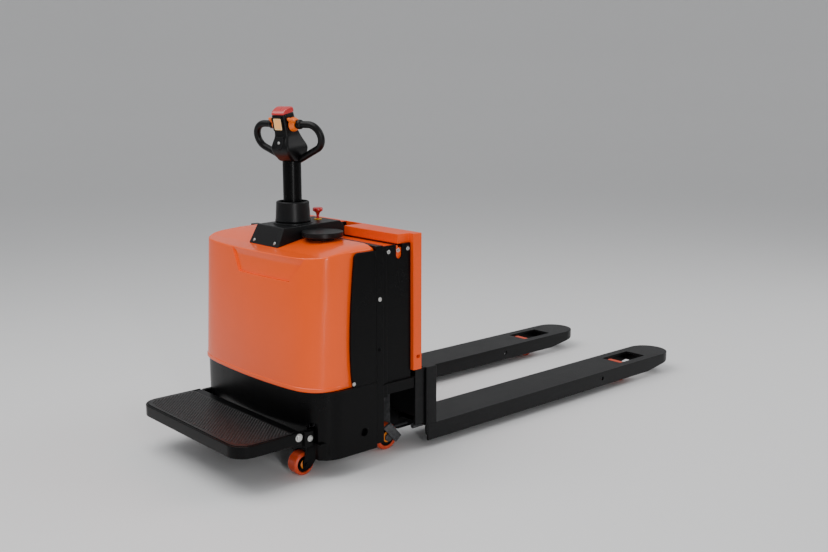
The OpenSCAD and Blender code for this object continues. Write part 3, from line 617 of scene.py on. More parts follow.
@dataclass
class Places:
    """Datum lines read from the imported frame, in metres."""

    heel: float = field(default_factory=lambda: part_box("fork_carriage")[1].x)

    def along(self, mm: float) -> float:
        """Place along the truck for a distance in millimetres from the fork heels."""
        return self.heel + mm * MM

    def at(self, x: float, y: float, z: float) -> Vector:
        """Point for millimetres counted from the heels, the middle and the floor."""
        return Vector((self.along(x), y * MM, z * MM))

    def joint(self, name: str) -> dict[str, object]:
        """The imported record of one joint."""
        return next(j for j in frame["joints"] if j["name"] == name)

    def steering(self) -> Matrix:
        """Local axes of the tiller: X towards the forks, Z up, counted from the steering axis."""
        axis = self.joint("tiller_tilt")["axis"]
        at = Vector(self.joint("steering")["pos_m"])
        return Matrix.Translation((at.x, at.y, 0.0)) @ Matrix.Rotation(math.atan2(axis[0], -axis[1]), 4, "Z")


PLACE = Places()


# ------------------------------------------------------------------ the truck


@dataclass
class Forks:
    """The two forks, the posts that carry them and the wheels in their tips."""

    plate_edge: float = 0.0018
    wheel_edge: float = 0.0012

    def build(self, maker: Maker) -> None:
        """Makes the fork frame's steel pieces."""
        for side in ("left", "right"):
            maker.refine("fork_" + side, FINISH.fork, self.plate_edge)
            maker.refine("load_arm_" + side, FINISH.casting, 0.001)
            self.wheel(maker, side)
        maker.refine("fork_carriage", FINISH.fork, 0.002)
        maker.refine("push_rods", FINISH.casting, 0.001)
        maker.refine("lift_rod", FINISH.zinc, 0.001)
        self.welds(maker)

    def wheel(self, maker: Maker, side: str) -> None:
        """Makes a load wheel with a round-shouldered tread, all in one piece."""
        low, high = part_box("load_wheel_" + side)
        middle, r, half = (low + high) / 2, (high.z - low.z) / 2, (high.y - low.y) / 2
        at = turned((0, 1, 0), middle)
        shape = Shape().lathe(both_halves(
            [(AXLE_BORE, -half), (r * 0.5, -half), (r * 0.55, -half + 0.003), (r * 0.8, -half + 0.003),
             (r - 0.004, -half), (r - 0.001, -half + 0.003), (r, -half + 0.007)]), at, 72)
        maker.build("load_wheel_finished_" + side, shape, "load_wheel_" + side, FINISH.tread,
                    ["load_wheel_" + side])

    def welds(self, maker: Maker) -> None:
        """Lays a rippled weld along the foot of each post."""
        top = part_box("fork_left")[1].z
        for side in ("left", "right"):
            low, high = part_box("fork_" + side)
            start, run = low.y + 0.004, high.y - low.y - 0.008
            path = [Vector((PLACE.heel + 0.0008, start + run * i / 60, top + 0.0008)) for i in range(61)]
            bead = Shape().tube(path, lambda t: 0.0026 + 0.0005 * math.sin(t * 190), 10)
            maker.build("heel_weld_" + side, bead, "fork_frame", FINISH.fork)


@dataclass
class Hood:
    """The moulded hood: a bowed front, round corners and a crowned top with a hand recess."""

    bottom: float = 278.0
    crease: float = 684.0
    top: float = 713.6
    lean: float = 20.0
    wall: float = 9.0
    edge_r: float = 6.0
    half_w: float = 338.0
    fineness: int = 5
    half_line: tuple[Pair, ...] = ((-525.0, 0.0), (-524.4, 45.0), (-523.0, 90.0), (-520.6, 135.0),
                                   (-517.2, 180.0), (-512.6, 220.0), (-506.5, 254.0), (-499.0, 277.0),
                                   (-488.0, 297.0), (-474.0, 313.0), (-457.0, 325.0), (-437.0, 333.0),
                                   (-415.0, 337.0), (-390.0, 338.0), (-365.5, 338.0), (-342.0, 338.0),
                                   (-330.0, 338.0), (-300.0, 338.0), (-264.6, 338.0))
    recess_top: Pair = (-275.0, 89.0)
    recess_foot: Pair = (-217.0, 46.0)
    recess_high: float = 683.0
    recess_low: float = 610.0
    recess_depth: float = 6.5

    def front_x(self, y: float) -> float:
        """The front line's place along the truck at a distance from the middle."""
        line = self.half_line
        y = abs(y)
        for (xa, ya), (xb, yb) in zip(line, line[1:]):
            if ya <= y <= yb and yb > ya:
                return xa + (xb - xa) * (y - ya) / (yb - ya)
        return line[-1][0]

    def outline(self) -> list[Pair]:
        """The plan line from the left rear corner round the front to the right rear corner."""
        coarse = [*reversed(self.half_line), *[(x, -y) for x, y in self.half_line[1:]]]
        fine: list[Pair] = []
        for i in range(len(coarse) - 1):
            steps = 1 if coarse[i][1] == coarse[i + 1][1] else self.fineness
            fine += [(spline(coarse, i, s / steps, 0), spline(coarse, i, s / steps, 1)) for s in range(steps)]
        return fine + [coarse[-1]]

    def roof(self, x: float, y: float) -> float:
        """Height of the crowned top at a place."""
        sides = 700.0 + max(0.0, self.half_w - abs(y)) * 0.40
        ahead = x - self.front_x(0.0) - self.lean
        front = self.crease + (ahead * 0.10 if ahead < 60 else 6.0 + (ahead - 60.0) * 0.21)
        low = min(sides, front, self.top)
        soft = 4.0
        total = sum(math.exp(-(h - low) / soft) for h in (sides, front, self.top))
        return min(self.top, low - soft * math.log(total) + 1.2)

    def shifted(self, x: float, z: float) -> float:
        """A front place leant back with height; the sides stay upright."""
        share = share_of(-x, 366.0, 110.0)
        rise = max(0.0, z - self.bottom) / (self.crease - self.bottom)
        return x + self.lean * min(1.0, rise) * share

    def build(self, maker: Maker) -> None:
        """Makes the hood, with a raised lip round its foot."""
        line = self.outline()
        rows: list[list[Vector]] = []
        levels = [278.0, 279.2, 284.0, 289.0, 291.0, 300.0, 340.0, 400.0, 460.0, 520.0, 580.0, 620.0, 650.0,
                  672.0]
        lip = {278.0: 1.2, 279.2: 2.4, 284.0: 2.6, 289.0: 2.4, 291.0: 0.2}
        centre = (-330.0, 0.0)
        for z in levels:
            row = []
            for x, y in line:
                out = Vector((x - centre[0], y - centre[1])).normalized() * lip.get(z, 0.0)
                out *= share_of(-x, 372.0, 40.0)
                row.append(PLACE.at(self.shifted(x, z) + out.x, y + out.y, z))
            rows.append(row)
        shares = (0.0, 0.004, 0.009, 0.016, 0.026, 0.045, 0.08, 0.14, 0.22, 0.34, 0.5, 0.7, 0.86, 1.0)
        for share in shares:
            row = []
            for x, y in line:
                start = Vector((self.shifted(x, self.crease), y))
                spine = Vector((max(-395.0, min(-264.6, x)), 0.0))
                where = start.lerp(spine, share)
                inset = (where - start).length
                z = self.roof(where.x, where.y)
                if inset < self.edge_r:
                    z -= self.edge_r * (1 - math.sqrt(max(0.0, 1 - (1 - inset / self.edge_r) ** 2)))
                row.append(PLACE.at(where.x, where.y, z))
            rows.append(row)
        rear = PLACE.along(-342.5)
        open_to = len(levels) - 1

        def keep(r: int, c: int) -> bool:
            """Leaves out the side walls behind the black panels."""
            return not (r < open_to and rows[0][c].x > rear - 1e-5 and rows[0][c + 1].x > rear - 1e-5)

        hood = Shape().sheet(rows, keep=keep)
        maker.build("hood", hood, "chassis", FINISH.orange, ["front_hood"], wall=self.wall * MM,
                    bevel=0.0012, steps=3, sharp=28.0, cut=self.recess())

    def recess(self) -> Shape:
        """The body taken out for the hand recess: it follows the front and deepens below its upper edge."""
        across, up = 24, 14
        faces = []
        for outer in (True, False):
            rows = []
            for r in range(up + 1):
                share = r / up
                z = self.recess_low + (self.recess_high - self.recess_low) * share
                left = self.recess_foot[0] + (self.recess_top[0] - self.recess_foot[0]) * share
                right = self.recess_foot[1] + (self.recess_top[1] - self.recess_foot[1]) * share
                row = []
                for c in range(across + 1):
                    y = left + (right - left) * c / across
                    x = self.shifted(self.front_x(y), z)
                    deep = self.recess_depth * min(1.0, 0.25 + (self.recess_high - z) / 26.0)
                    row.append(PLACE.at(x - 12.0 if outer else x + min(deep, self.wall - 0.8), y, z))
                rows.append(row)
            faces.append(rows)
        shape = Shape()
        shape.sheet([r[::-1] for r in faces[0]])
        shape.sheet(faces[1])
        rims = [rows[0] + [r[-1] for r in rows[1:]] + rows[-1][-2::-1] + [r[0] for r in rows[-2:0:-1]]
                for rows in faces]
        return shape.sheet(rims, ring=True)


@dataclass
class BodyPanels:
    """The black chassis wrap, side panels, flanges and what the hood covers."""

    curve: tuple[Pair, ...] = ((-357.0, 278.0), (-361.0, 300.0), (-364.0, 330.0), (-366.0, 370.0),
                               (-366.5, 414.0), (-365.0, 470.0), (-361.5, 539.0), (-357.0, 595.0),
                               (-352.0, 646.0))
    bow_w: float = 350.0
    corner_r: float = 18.0

    def build(self, maker: Maker) -> None:
        """Makes the wrap, the panels and the screws."""
        maker.refine("chassis_frame", FINISH.black, 0.0015, tuck=self.inside)
        self.skirt(maker)
        for side in ("left", "right"):
            self.panel(maker, side)
        for node, finish in (("slew_bearing", FINISH.zinc), ("support_brackets", FINISH.link),
                             ("motor_controller", FINISH.motor), ("hydraulic_unit", FINISH.motor),
                             ("lift_cylinder", FINISH.motor)):
            maker.refine(node, finish, 0.0008)
        self.screws(maker)

    def inside(self, point: Vector) -> Vector:
        """Holds a point of the base plate inside the bowed wrap."""
        y = point.y / MM * Hood().half_w / self.bow_w
        if abs(y) > 336.0 or point.z < 0.255:
            return point
        least = self.set_back(Hood().front_x(y)) + 11.0
        return Vector((max(point.x, PLACE.along(least)), point.y, point.z))

    def set_back(self, x: float) -> float:
        """Place of the wrap's front behind a place on the hood's line."""
        return x + 12.0 * share_of(-x, 400.0, 90.0)

    def skirt(self, maker: Maker) -> None:
        """Makes the wrap below the hood: it follows the hood's plan and has a notch at each front corner."""
        line = [(self.set_back(x), y * self.bow_w / Hood().half_w) for x, y in Hood().outline()]
        line = [(line[0][0] + 0.4, self.bow_w), *line[1:-1], (line[-1][0] + 0.4, -self.bow_w)]
        rows = [[PLACE.at(x, y, z) for x, y in line] for z in (62.0, 100.0, 150.0, 200.0, 250.0, 276.5, 277.6)]
        across = Matrix(((0, 0, 1, 0), (1, 0, 0, 0), (0, 1, 0, 0), (0, 0, 0, 1)))
        gate = [(-0.372, -0.01), (0.372, -0.01), (0.372, 0.180), (0.283, 0.180), (0.283, 0.115),
                (-0.283, 0.115), (-0.283, 0.180), (-0.372, 0.180)]
        cut = Shape().plate(gate, PLACE.along(-541), PLACE.along(-471), across)
        for sign in (1, -1):
            cut.rod(turned((0, sign, 0), PLACE.at(-316, sign * 346, 126)), 0.013, -0.03, 0.03, 40)
        maker.build("skirt_wrap", Shape().sheet(rows), "chassis", FINISH.black, ["skirt"], wall=0.008,
                    bevel=0.0016, steps=3, sharp=30.0, cut=cut)

    def panel(self, maker: Maker, side: str) -> None:
        """Makes a side panel with its curved front edge and round upper corner."""
        low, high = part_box("side_panel_" + side)
        top, rear = high.z / MM, (high.x - PLACE.heel) / MM
        r = self.corner_r
        corner = [(-330.5 + r * math.cos(a), top - r + r * math.sin(a))
                  for a in [math.pi - math.pi / 2 * i / 6 for i in range(1, 7)]]
        outline = [*self.curve, (-349.0, 672.0), *corner, (rear, top), (rear, self.curve[0][1])]
        at = Matrix(((1, 0, 0, PLACE.heel), (0, 0, -1, high.y), (0, 1, 0, 0), (0, 0, 0, 1)))
        flat = [(x * MM, z * MM) for x, z in outline]
        maker.build("side_cover_" + side, Shape().plate(flat, 0.0, high.y - low.y, at), "chassis", FINISH.black,
                    ["side_panel_" + side], bevel=0.002, steps=3)

    def screws(self, maker: Maker) -> None:
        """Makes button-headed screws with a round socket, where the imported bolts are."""
        shape, dark = Shape(), Shape()
        for sign in (1, -1):
            for x, z, r in ((-250, 542, 4.8), (-356, 290, 4.4)):
                button_screw(shape, PLACE.at(x, sign * 350, z), (0, sign, 0), r * MM)
            button_screw(dark, PLACE.at(-250, sign * 350, 380), (0, sign, 0), 0.0048)
        maker.build("cover_screws", shape, "chassis", FINISH.zinc, ["body_screws"], sharp=40)
        maker.build("painted_screws", dark, "chassis", FINISH.black, sharp=40)
        cups = Shape()
        for sign in (1, -1):
            cups.rod(turned((0, sign, 0), PLACE.at(-316, sign * 334.5, 126)), 0.013, 0.0, 0.002, 40)
        maker.build("hole_cups", cups, "chassis", FINISH.black, sharp=40)


def button_screw(shape: Shape, at: Vector, out: Point, r: float, rise: float = 0.0035) -> None:
    """Adds a round screw head on a washer, with a socket in its middle."""
    place = turned(out, at)
    shape.lathe([(0.0, 0.0003), (r * 1.45, 0.0), (r * 1.45, 0.0010), (r * 1.38, 0.0014), (r * 0.98, 0.0014),
                 (r, rise * 0.65), (r * 0.86, rise * 0.92), (r * 0.60, rise), (r * 0.45, rise),
                 (r * 0.42, rise * 0.45), (0.0, rise * 0.40)], place, 24)


def hex_head(shape: Shape, at: Vector, out: Point, r: float, rise: float) -> None:
    """Adds a hexagon bolt head on a flange."""
    place = turned(out, at)
    shape.lathe([(0.0, 0.0002), (r * 1.30, 0.0), (r * 1.30, 0.0012), (r, 0.0022), (0.0, 0.0023)], place, 28)
    shape.lathe([(0.0, 0.001), (r, 0.001), (r, rise * 0.85), (r * 0.90, rise), (r * 0.55, rise),
                 (r * 0.5, rise * 0.92), (0.0, rise * 0.92)], place @ Matrix.Rotation(0.3, 4, "Z"), 6)


@dataclass
class BatteryBay:
    """The battery with its side panels, lid and fixings, and the frame behind it."""

    def build(self, maker: Maker) -> None:
        """Makes the pieces of the bay and the backrest."""
        maker.refine_all((("battery_tray", FINISH.black, 0.0015, 2),
                          ("battery", FINISH.battery, 0.002, 2),
                          ("battery_panel_left", FINISH.black, 0.0014, 2),
                          ("battery_panel_right", FINISH.black, 0.0014, 2),
                          ("battery_lid", FINISH.orange_steel, 0.002, 3),
                          ("backrest", FINISH.orange_steel, 0.0022, 3),
                          ("lid_grip", FINISH.grip, 0.0012, 2)))
        shape = Shape()
        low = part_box("panel_bolts")[0]
        z = low.z / MM + 6
        for sign in (1, -1):
            hex_head(shape, PLACE.at(-197, sign * 330, z), (0, sign, 0), 0.0050, 0.0045)
            hex_head(shape, PLACE.at(-117, sign * 330, z + 3), (0, sign, 0), 0.0050, 0.0045)
            hex_head(shape, PLACE.at(-153, sign * 324, z), (0, sign, 0), 0.0050, 0.0055)
        maker.build("panel_bolt_heads", shape, "chassis", FINISH.zinc, ["panel_bolts"], sharp=40)
        self.pockets(maker)

    def pockets(self, maker: Maker) -> None:
        """Sets the orange tab that shows through each panel's slot, and the sill strip at its foot."""
        for side, sign in (("left", 1), ("right", -1)):
            tab = Shape().plate(rounded(0.030, 0.040, 0.004), 0.0, 0.002,
                                turned((0, sign, 0), PLACE.at(-153, sign * 321.5, 672)))
            maker.build("orange_tab_" + side, tab, "chassis", FINISH.orange_steel, bevel=0.0006)
            sill = Shape().plate([(-0.225, -0.004), (-0.092, -0.004), (-0.092, 0.004), (-0.225, 0.004)],
                                 0.0, 0.0035, Matrix.Translation((PLACE.heel, sign * 0.3345, 0.2555)))
            maker.build("sill_" + side, sill, "chassis", FINISH.black, bevel=0.001)


@dataclass
class Console:
    """The cover round the tiller's foot, with its shelf, key and stop button."""

    def build(self, maker: Maker) -> None:
        """Makes the cover, its screws and the two controls on it."""
        maker.refine("console_cover", FINISH.cover, 0.0035, 3)
        maker.refine("key_switch", FINISH.zinc, 0.0006)
        maker.refine("ignition_key", FINISH.zinc, 0.0005)
        self.shelf(maker)
        self.stop(maker)
        screws = Shape()
        normal = Vector((-0.864, 0.0, 0.504))
        for y in (-58, 58):
            button_screw(screws, PLACE.at(-438.0, y, 702.4), tuple(normal), 0.0042, 0.0026)
        maker.build("apron_screws", screws, "chassis", FINISH.zinc, sharp=40)
        self.collar(maker)

    def shelf(self, maker: Maker) -> None:
        """Makes the round shelf with a raised rim and a slightly sunk middle."""
        low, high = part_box("round_shelf")
        mid = PLACE.at(-313, -143, 0)
        at = Matrix.Translation((mid.x, mid.y, 0))
        z0, z1 = high.z - 0.018, high.z
        disc = Shape().lathe([(0.0, low.z + 0.0002), (0.039, low.z + 0.0002), (0.040, z0 + 0.0005),
                              (0.063, z0 + 0.0005), (0.066, z0 + 0.003), (0.066, z1 - 0.002),
                              (0.0652, z1 - 0.0006), (0.064, z1), (0.0610, z1), (0.0600, z1 - 0.0010),
                              (0.0, z1 - 0.0011)], at, 96)
        maker.build("shelf_disc", disc, "chassis", FINISH.cover, ["round_shelf"], sharp=60)

    def stop(self, maker: Maker) -> None:
        """Makes the mushroom stop button with its stem."""
        low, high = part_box("emergency_stop")
        mid = (low + high) / 2
        at = Matrix.Translation((mid.x, mid.y, 0))
        b, t = low.z, high.z
        stem = Shape().lathe([(0.0, b), (0.005, b), (0.005, t - 0.026), (0.0065, t - 0.019),
                              (0.0105, t - 0.0145), (0.0155, t - 0.0125), (0.017, t - 0.0095),
                              (0.017, t - 0.0045), (0.0160, t - 0.0015), (0.0135, t - 0.0003),
                              (0.006, t - 0.0009), (0.0, t - 0.0012)], at, 56)
        maker.build("stop_mushroom", stem, "emergency_stop", FINISH.red, ["emergency_stop"], sharp=60)
        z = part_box("console_cover")[1].z
        ring = Shape().lathe([(0.0052, z - 0.004), (0.013, z - 0.004), (0.013, z + 0.0015),
                              (0.0118, z + 0.0025), (0.0066, z + 0.0025), (0.0052, z + 0.0015),
                              (0.0052, z - 0.004)], at, 40)
        maker.build("stop_collar", ring, "chassis", FINISH.yellow)

    def collar(self, maker: Maker) -> None:
        """Makes the low ring that the boot stands over."""
        at = Matrix.Translation((PLACE.along(-325), 0, 0))
        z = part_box("tiller_boot")[0].z
        ring = Shape().lathe([(0.0505, z - 0.012), (0.064, z - 0.012), (0.063, z - 0.0030), (0.060, z - 0.0012),
                              (0.0505, z - 0.0012), (0.0505, z - 0.012)], at, 80)
        maker.build("boot_collar", ring, "chassis", FINISH.cover)


@dataclass
class Tiller:
    """The steering tiller: boot, shaft, head, handle loops and finger controls."""

    bend_r: float = 42.0
    reach: float = 90.0
    fall: float = 64.4
    grip_r: float = 11.2

    def build(self, maker: Maker) -> None:
        """Makes the tiller from its boot up."""
        self.axes = PLACE.steering()
        self.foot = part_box("head_shell")[0].z
        self.boot(maker)
        maker.refine("steer_column", FINISH.motor, 0.001)
        maker.refine("tilt_pin", FINISH.zinc, 0.0005)
        maker.refine("tiller_shaft", FINISH.black, 0.0012)
        self.shell(maker)
        self.loops(maker)
        self.face(maker)
        self.wings(maker)
        self.cap(maker)
        for node, finish in (("lift_button", FINISH.switch), ("lower_button", FINISH.grey),
                             ("horn_button", FINISH.yellow)):
            maker.refine(node, finish, 0.001, 2)

    def boot(self, maker: Maker) -> None:
        """Makes the tapered boot with a rolled lip."""
        z0, z1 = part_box("tiller_boot")[0].z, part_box("tiller_boot")[1].z
        r0, r1, inner = 0.058, 0.0525, 0.0475
        shape = Shape().lathe([(0.029, z0), (r0 - 0.002, z0), (r0, z0 + 0.002), (r0, z0 + 0.006),
                               (r0 - 0.0015, z0 + 0.009), (r1 + 0.0012, z1 - 0.007), (r1 + 0.0014, z1 - 0.004),
                               (r1, z1 - 0.0012), (r1 - 0.0015, z1), (inner, z1), (inner - 0.0003, z1 - 0.002),
                               (inner, z1 - 0.005), (0.052, z0 + 0.0025), (0.029, z0 + 0.0025), (0.027, z0)],
                              self.axes, 96)
        maker.build("boot", shape, "steer_unit", FINISH.cover, ["tiller_boot"], sharp=60)

    def spot(self, x: float, up: float, lean: float = 0.0) -> Matrix:
        """Local axes at a place on the head in metres, leant back by some degrees."""
        return (self.axes @ Matrix.Translation((x, 0, self.foot + up))
                @ Matrix.Rotation(math.radians(lean), 4, "Y"))

    def loops(self, maker: Maker) -> None:
        """Makes both closed handle loops as smooth tubes."""
        turn = self.spot(-0.024, 0.118, -16)
        shape = Shape()
        for sign in (1, -1):
            line = [(22.0 + (self.reach - 22.0) * i / 8, 0.0) for i in range(8)]
            for i in range(33):
                a = math.radians(90 - (90 + self.fall) * i / 32)
                line.append((self.reach + self.bend_r * math.cos(a), -self.bend_r + self.bend_r * math.sin(a)))
            a = math.radians(-self.fall)
            for i in range(1, 9):
                line.append((line[40][0] + 88 * i / 8 * math.sin(a), line[40][1] - 88 * i / 8 * math.cos(a)))
            path = [turn @ Vector((0, sign * y * MM, z * MM)) for y, z in line]
            shape.tube(path, lambda t: self.grip_r * MM * (1.0 - 0.02 * math.cos(t * 6.28)), 28)
        maker.build("handle_tubes", shape, "tiller", FINISH.grip, ["handle_loops"], sharp=70)
        rings = Shape()
        for sign in (1, -1):
            at = turn @ Matrix.Translation((0, sign * 0.0525, 0)) @ Matrix.Rotation(-sign * math.pi / 2, 4, "X")
            rings.lathe([(0.0105, -0.0005), (0.0150, 0.0), (0.0155, 0.003), (0.0148, 0.009),
                         (0.0125, 0.012), (0.0105, 0.0125)], at, 40)
        maker.build("tube_collars", rings, "tiller", FINISH.grip, sharp=60)

    def face(self, maker: Maker) -> None:
        """Makes the screen in its frame, and the shield plate below it with its screw."""
        outward = Matrix(((0, 0, -1, 0), (-1, 0, 0, 0), (0, 1, 0, 0), (0, 0, 0, 1)))
        at = self.spot(-0.064, 0.118, -12) @ outward
        border = Shape().plate(rounded(0.0310, 0.0370, 0.003), -0.003, 0.0006, at)
        maker.build("screen_border", border, "tiller", FINISH.bezel, ["display"], bevel=0.0004)
        maker.build("screen", Shape().plate(rounded(0.0235, 0.0285, 0.002), 0.0, 0.0012, at), "tiller",
                    FINISH.screen, bevel=0.0003)
        rim = rounded(0.040, 0.046, 0.006)
        hole = rounded(0.0312, 0.0372, 0.003)
        rows = [[at @ Vector((a, b, h)) for a, b in ring]
                for ring, h in ((hole, -0.001), (hole, 0.0016), (rim, 0.0020), (rim, -0.001), (hole, -0.001))]
        maker.build("screen_frame", Shape().sheet(rows, ring=True), "tiller", FINISH.grip, bevel=0.0006)
        low = self.spot(-0.0592, 0.058, 8) @ outward
        crest = [(0.015, 0.020), (-0.015, 0.020), (-0.018, 0.014), (-0.017, -0.004), (-0.010, -0.017),
                 (0.0, -0.022), (0.010, -0.017), (0.017, -0.004), (0.018, 0.014)]
        maker.build("shield_plate", Shape().plate(crest, -0.004, 0.0022, low), "tiller", FINISH.cover,
                    bevel=0.0012, steps=3)
        screw = Shape()
        out = tuple(low.to_3x3() @ Vector((0, 0, 1)))
        button_screw(screw, low @ Vector((0, 0.001, 0.0022)), out, 0.0034, 0.0022)
        maker.build("head_screws", screw, "tiller", FINISH.zinc, sharp=40)

    def shell(self, maker: Maker) -> None:
        """Makes the head as a loft of rounded sections that flare at the foot and lean at the top."""
        front = ((0.0, -30.0), (20.0, -50.0), (40.0, -61.0), (60.0, -59.5), (82.0, -53.0), (118.0, -59.0),
                 (150.0, -66.0))
        back = ((0.0, 27.0), (20.0, 38.0), (40.0, 43.0), (68.0, 25.0), (96.0, 6.5), (130.0, -6.0),
                (150.0, -13.0))
        side = ((0.0, 31.5), (20.0, 34.5), (40.0, 36.5), (62.0, 31.5), (84.0, 27.0), (150.0, 26.6))
        rows = []
        levels = [0.0, 1.2, 3.5] + [3.5 + 144.5 * i / 42 for i in range(1, 43)] + [149.4, 150.0]
        for z in levels:
            pinch = {0.0: 3.0, 1.2: 1.2, 149.4: 0.4, 150.0: 1.1}.get(z, 0.0)
            x0, x1, w = (along_line(line, z) for line in (front, back, side))
            row = []
            for a, b in rounded(x1 - x0 - 2 * pinch, 2 * (w - pinch), min(9.0, w * 0.3), 6):
                x = (x0 + x1) / 2 + a
                seat = 140.4 + (x + 90.0) * 0.208
                row.append(self.axes @ Vector((x * MM, b * MM, self.foot + z / 150.0 * seat * MM)))
            rows.append(row)
        low = [sum(rows[0], Vector()) / len(rows[0])] * len(rows[0])
        high = [sum(rows[-1], Vector()) / len(rows[-1])] * len(rows[-1])
        shape = Shape().sheet([low, *rows, high], ring=True)
        axle = self.spot(-0.024, 0.118) @ Matrix.Rotation(math.pi / 2, 4, "X")
        cut = Shape().rod(axle, 0.0132, -0.06, 0.06, 48)
        for node in ("lift_button", "lower_button", "horn_button"):
            low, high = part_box(node)
            out = Vector(PLACE.joint(node.split("_")[0] + "_press")["axis"]) * -1
            cut.rod(turned(tuple(out), (low + high) / 2), 0.0064, -0.012, 0.03, 32)
        maker.build("head", shape, "tiller", FINISH.grip, ["head_shell"], sharp=60, cut=cut)

    def wings(self, maker: Maker) -> None:
        """Makes the throttle: a round hub each side of the head with a thumb wing."""
        turn = self.spot(-0.024, 0.118)
        shape = Shape()
        for sign in (1, -1):
            at = turn @ Matrix.Translation((0, sign * 0.0272, 0)) @ Matrix.Rotation(-sign * math.pi / 2, 4, "X")
            shape.lathe([(0.0124, 0.0008), (0.0215, 0.0008), (0.0232, 0.0025), (0.0220, 0.0090),
                         (0.0185, 0.0160), (0.0172, 0.0178), (0.0152, 0.0182), (0.0124, 0.0180),
                         (0.0124, 0.0008)], at, 56)
            wing = turn @ Matrix.Rotation(math.radians(28), 4, "Y")
            rows = []
            for x, half, thick in ((-0.010, 0.0075, 0.0068), (-0.020, 0.0075, 0.0066),
                                   (-0.030, 0.0070, 0.0060), (-0.036, 0.0062, 0.0050),
                                   (-0.0392, 0.0046, 0.0030), (-0.0400, 0.0010, 0.0008)):
                rows.append([wing @ Vector((x, sign * 0.0385 + a, b))
                             for a, b in rounded(2 * half, 2 * thick, min(half, thick) * 0.8, 4)])
            rows.insert(0, [wing @ Vector((-0.010, sign * 0.0385, 0))] * len(rows[0]))
            shape.sheet(rows + [[wing @ Vector((-0.0401, sign * 0.0385, 0))] * len(rows[0])], ring=True)
        maker.build("throttle_wings", shape, "throttle", FINISH.switch, ["throttle"], sharp=60)

    def cap(self, maker: Maker) -> None:
        """Makes the red button as a smooth cap with a domed top."""
        arch = [(-65.6, 147.2), (-65.6, 150.0), (-64.4, 153.6), (-60.8, 158.6), (-55.2, 163.6), (-48.0, 168.2),
                (-40.0, 171.8), (-32.0, 174.0), (-25.0, 174.2), (-19.5, 172.4), (-16.2, 168.6), (-14.9, 163.4),
                (-15.0, 157.7)]
        foot = [(x, 147.2 + (x + 65.6) * 0.2075) for x in (-25.0, -40.0, -55.0)]
        mid_x, mid_z, half = -40.0, 158.0, 26.8
        rows = []
        for share, y in ((0.0, 1.0), (0.60, 1.0), (0.80, 0.995), (0.90, 0.975), (0.955, 0.945), (0.985, 0.90),
                         (1.0, 0.83), (1.0, 0.0)):
            rows.append([(mid_x + (x - mid_x) * share, y * half, mid_z + (z - mid_z) * share)
                         for x, z in arch + foot])
        rows += [[(x, -y, z) for x, y, z in row] for row in reversed(rows[:-1])]
        shape = Shape().sheet([[self.axes @ Vector((x * MM, y * MM, self.foot + z * MM)) for x, y, z in row]
                               for row in rows], ring=True)
        maker.build("reverse_cap", shape, "belly_button", FINISH.red, ["belly_button"], sharp=55)


@dataclass
class Platform:
    """The fold-down operator platform with its studded mat, hinges and pins."""

    pitch: float = 13.0
    stud_r: float = 3.4
    rise: float = 1.5

    def build(self, maker: Maker) -> None:
        """Makes the pan, the mat, its studs and the hinge hardware."""
        maker.refine("platform_pan", FINISH.black, 0.0028, 3)
        maker.refine("platform_mat", FINISH.mat, 0.0008)
        maker.refine("hinge_brackets", FINISH.black, 0.0015)
        self.studs(maker)
        shape = Shape()
        for sign in (1, -1):
            hex_head(shape, PLACE.at(-533, sign * 303.4, 147), (0, sign, 0), 0.0098, 0.0065)
            hex_head(shape, PLACE.at(-491, sign * 303.0, 135), (0, sign, 0), 0.0078, 0.0052)
        for sign in (1, -1):
            for x, z, r, reach in ((-533, 147, 0.007, 20.4), (-491, 135, 0.005, 18.0)):
                shape.rod(turned((0, sign, 0), PLACE.at(x, sign * (303.4 - reach), z)), r, 0.0, reach * MM, 32)
        maker.build("hinge_bolts", shape, "chassis", FINISH.zinc, ["hinge_pins"], sharp=40)

    def studs(self, maker: Maker) -> None:
        """Sets staggered round studs all over the mat."""
        low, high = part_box("platform_mat")
        shape, step, row = Shape(), self.pitch * MM, 0
        inset, corner = 0.012, 0.060
        x = low.x + inset
        while x < high.x - inset * 0.6:
            y = low.y + inset + step / 2 * (row % 2)
            while y < high.y - inset:
                dx, dy = low.x + corner - x, max(low.y + corner - y, y - (high.y - corner))
                if not (dx > 0 and dy > 0 and math.hypot(dx, dy) > corner - inset):
                    shape.dome(Vector((x, y, high.z - 0.0001)), self.stud_r * MM, self.rise * MM)
                y += step
            x += step * 0.5
            row += 1
        maker.build("mat_studs", shape, "platform", FINISH.mat, sharp=80)


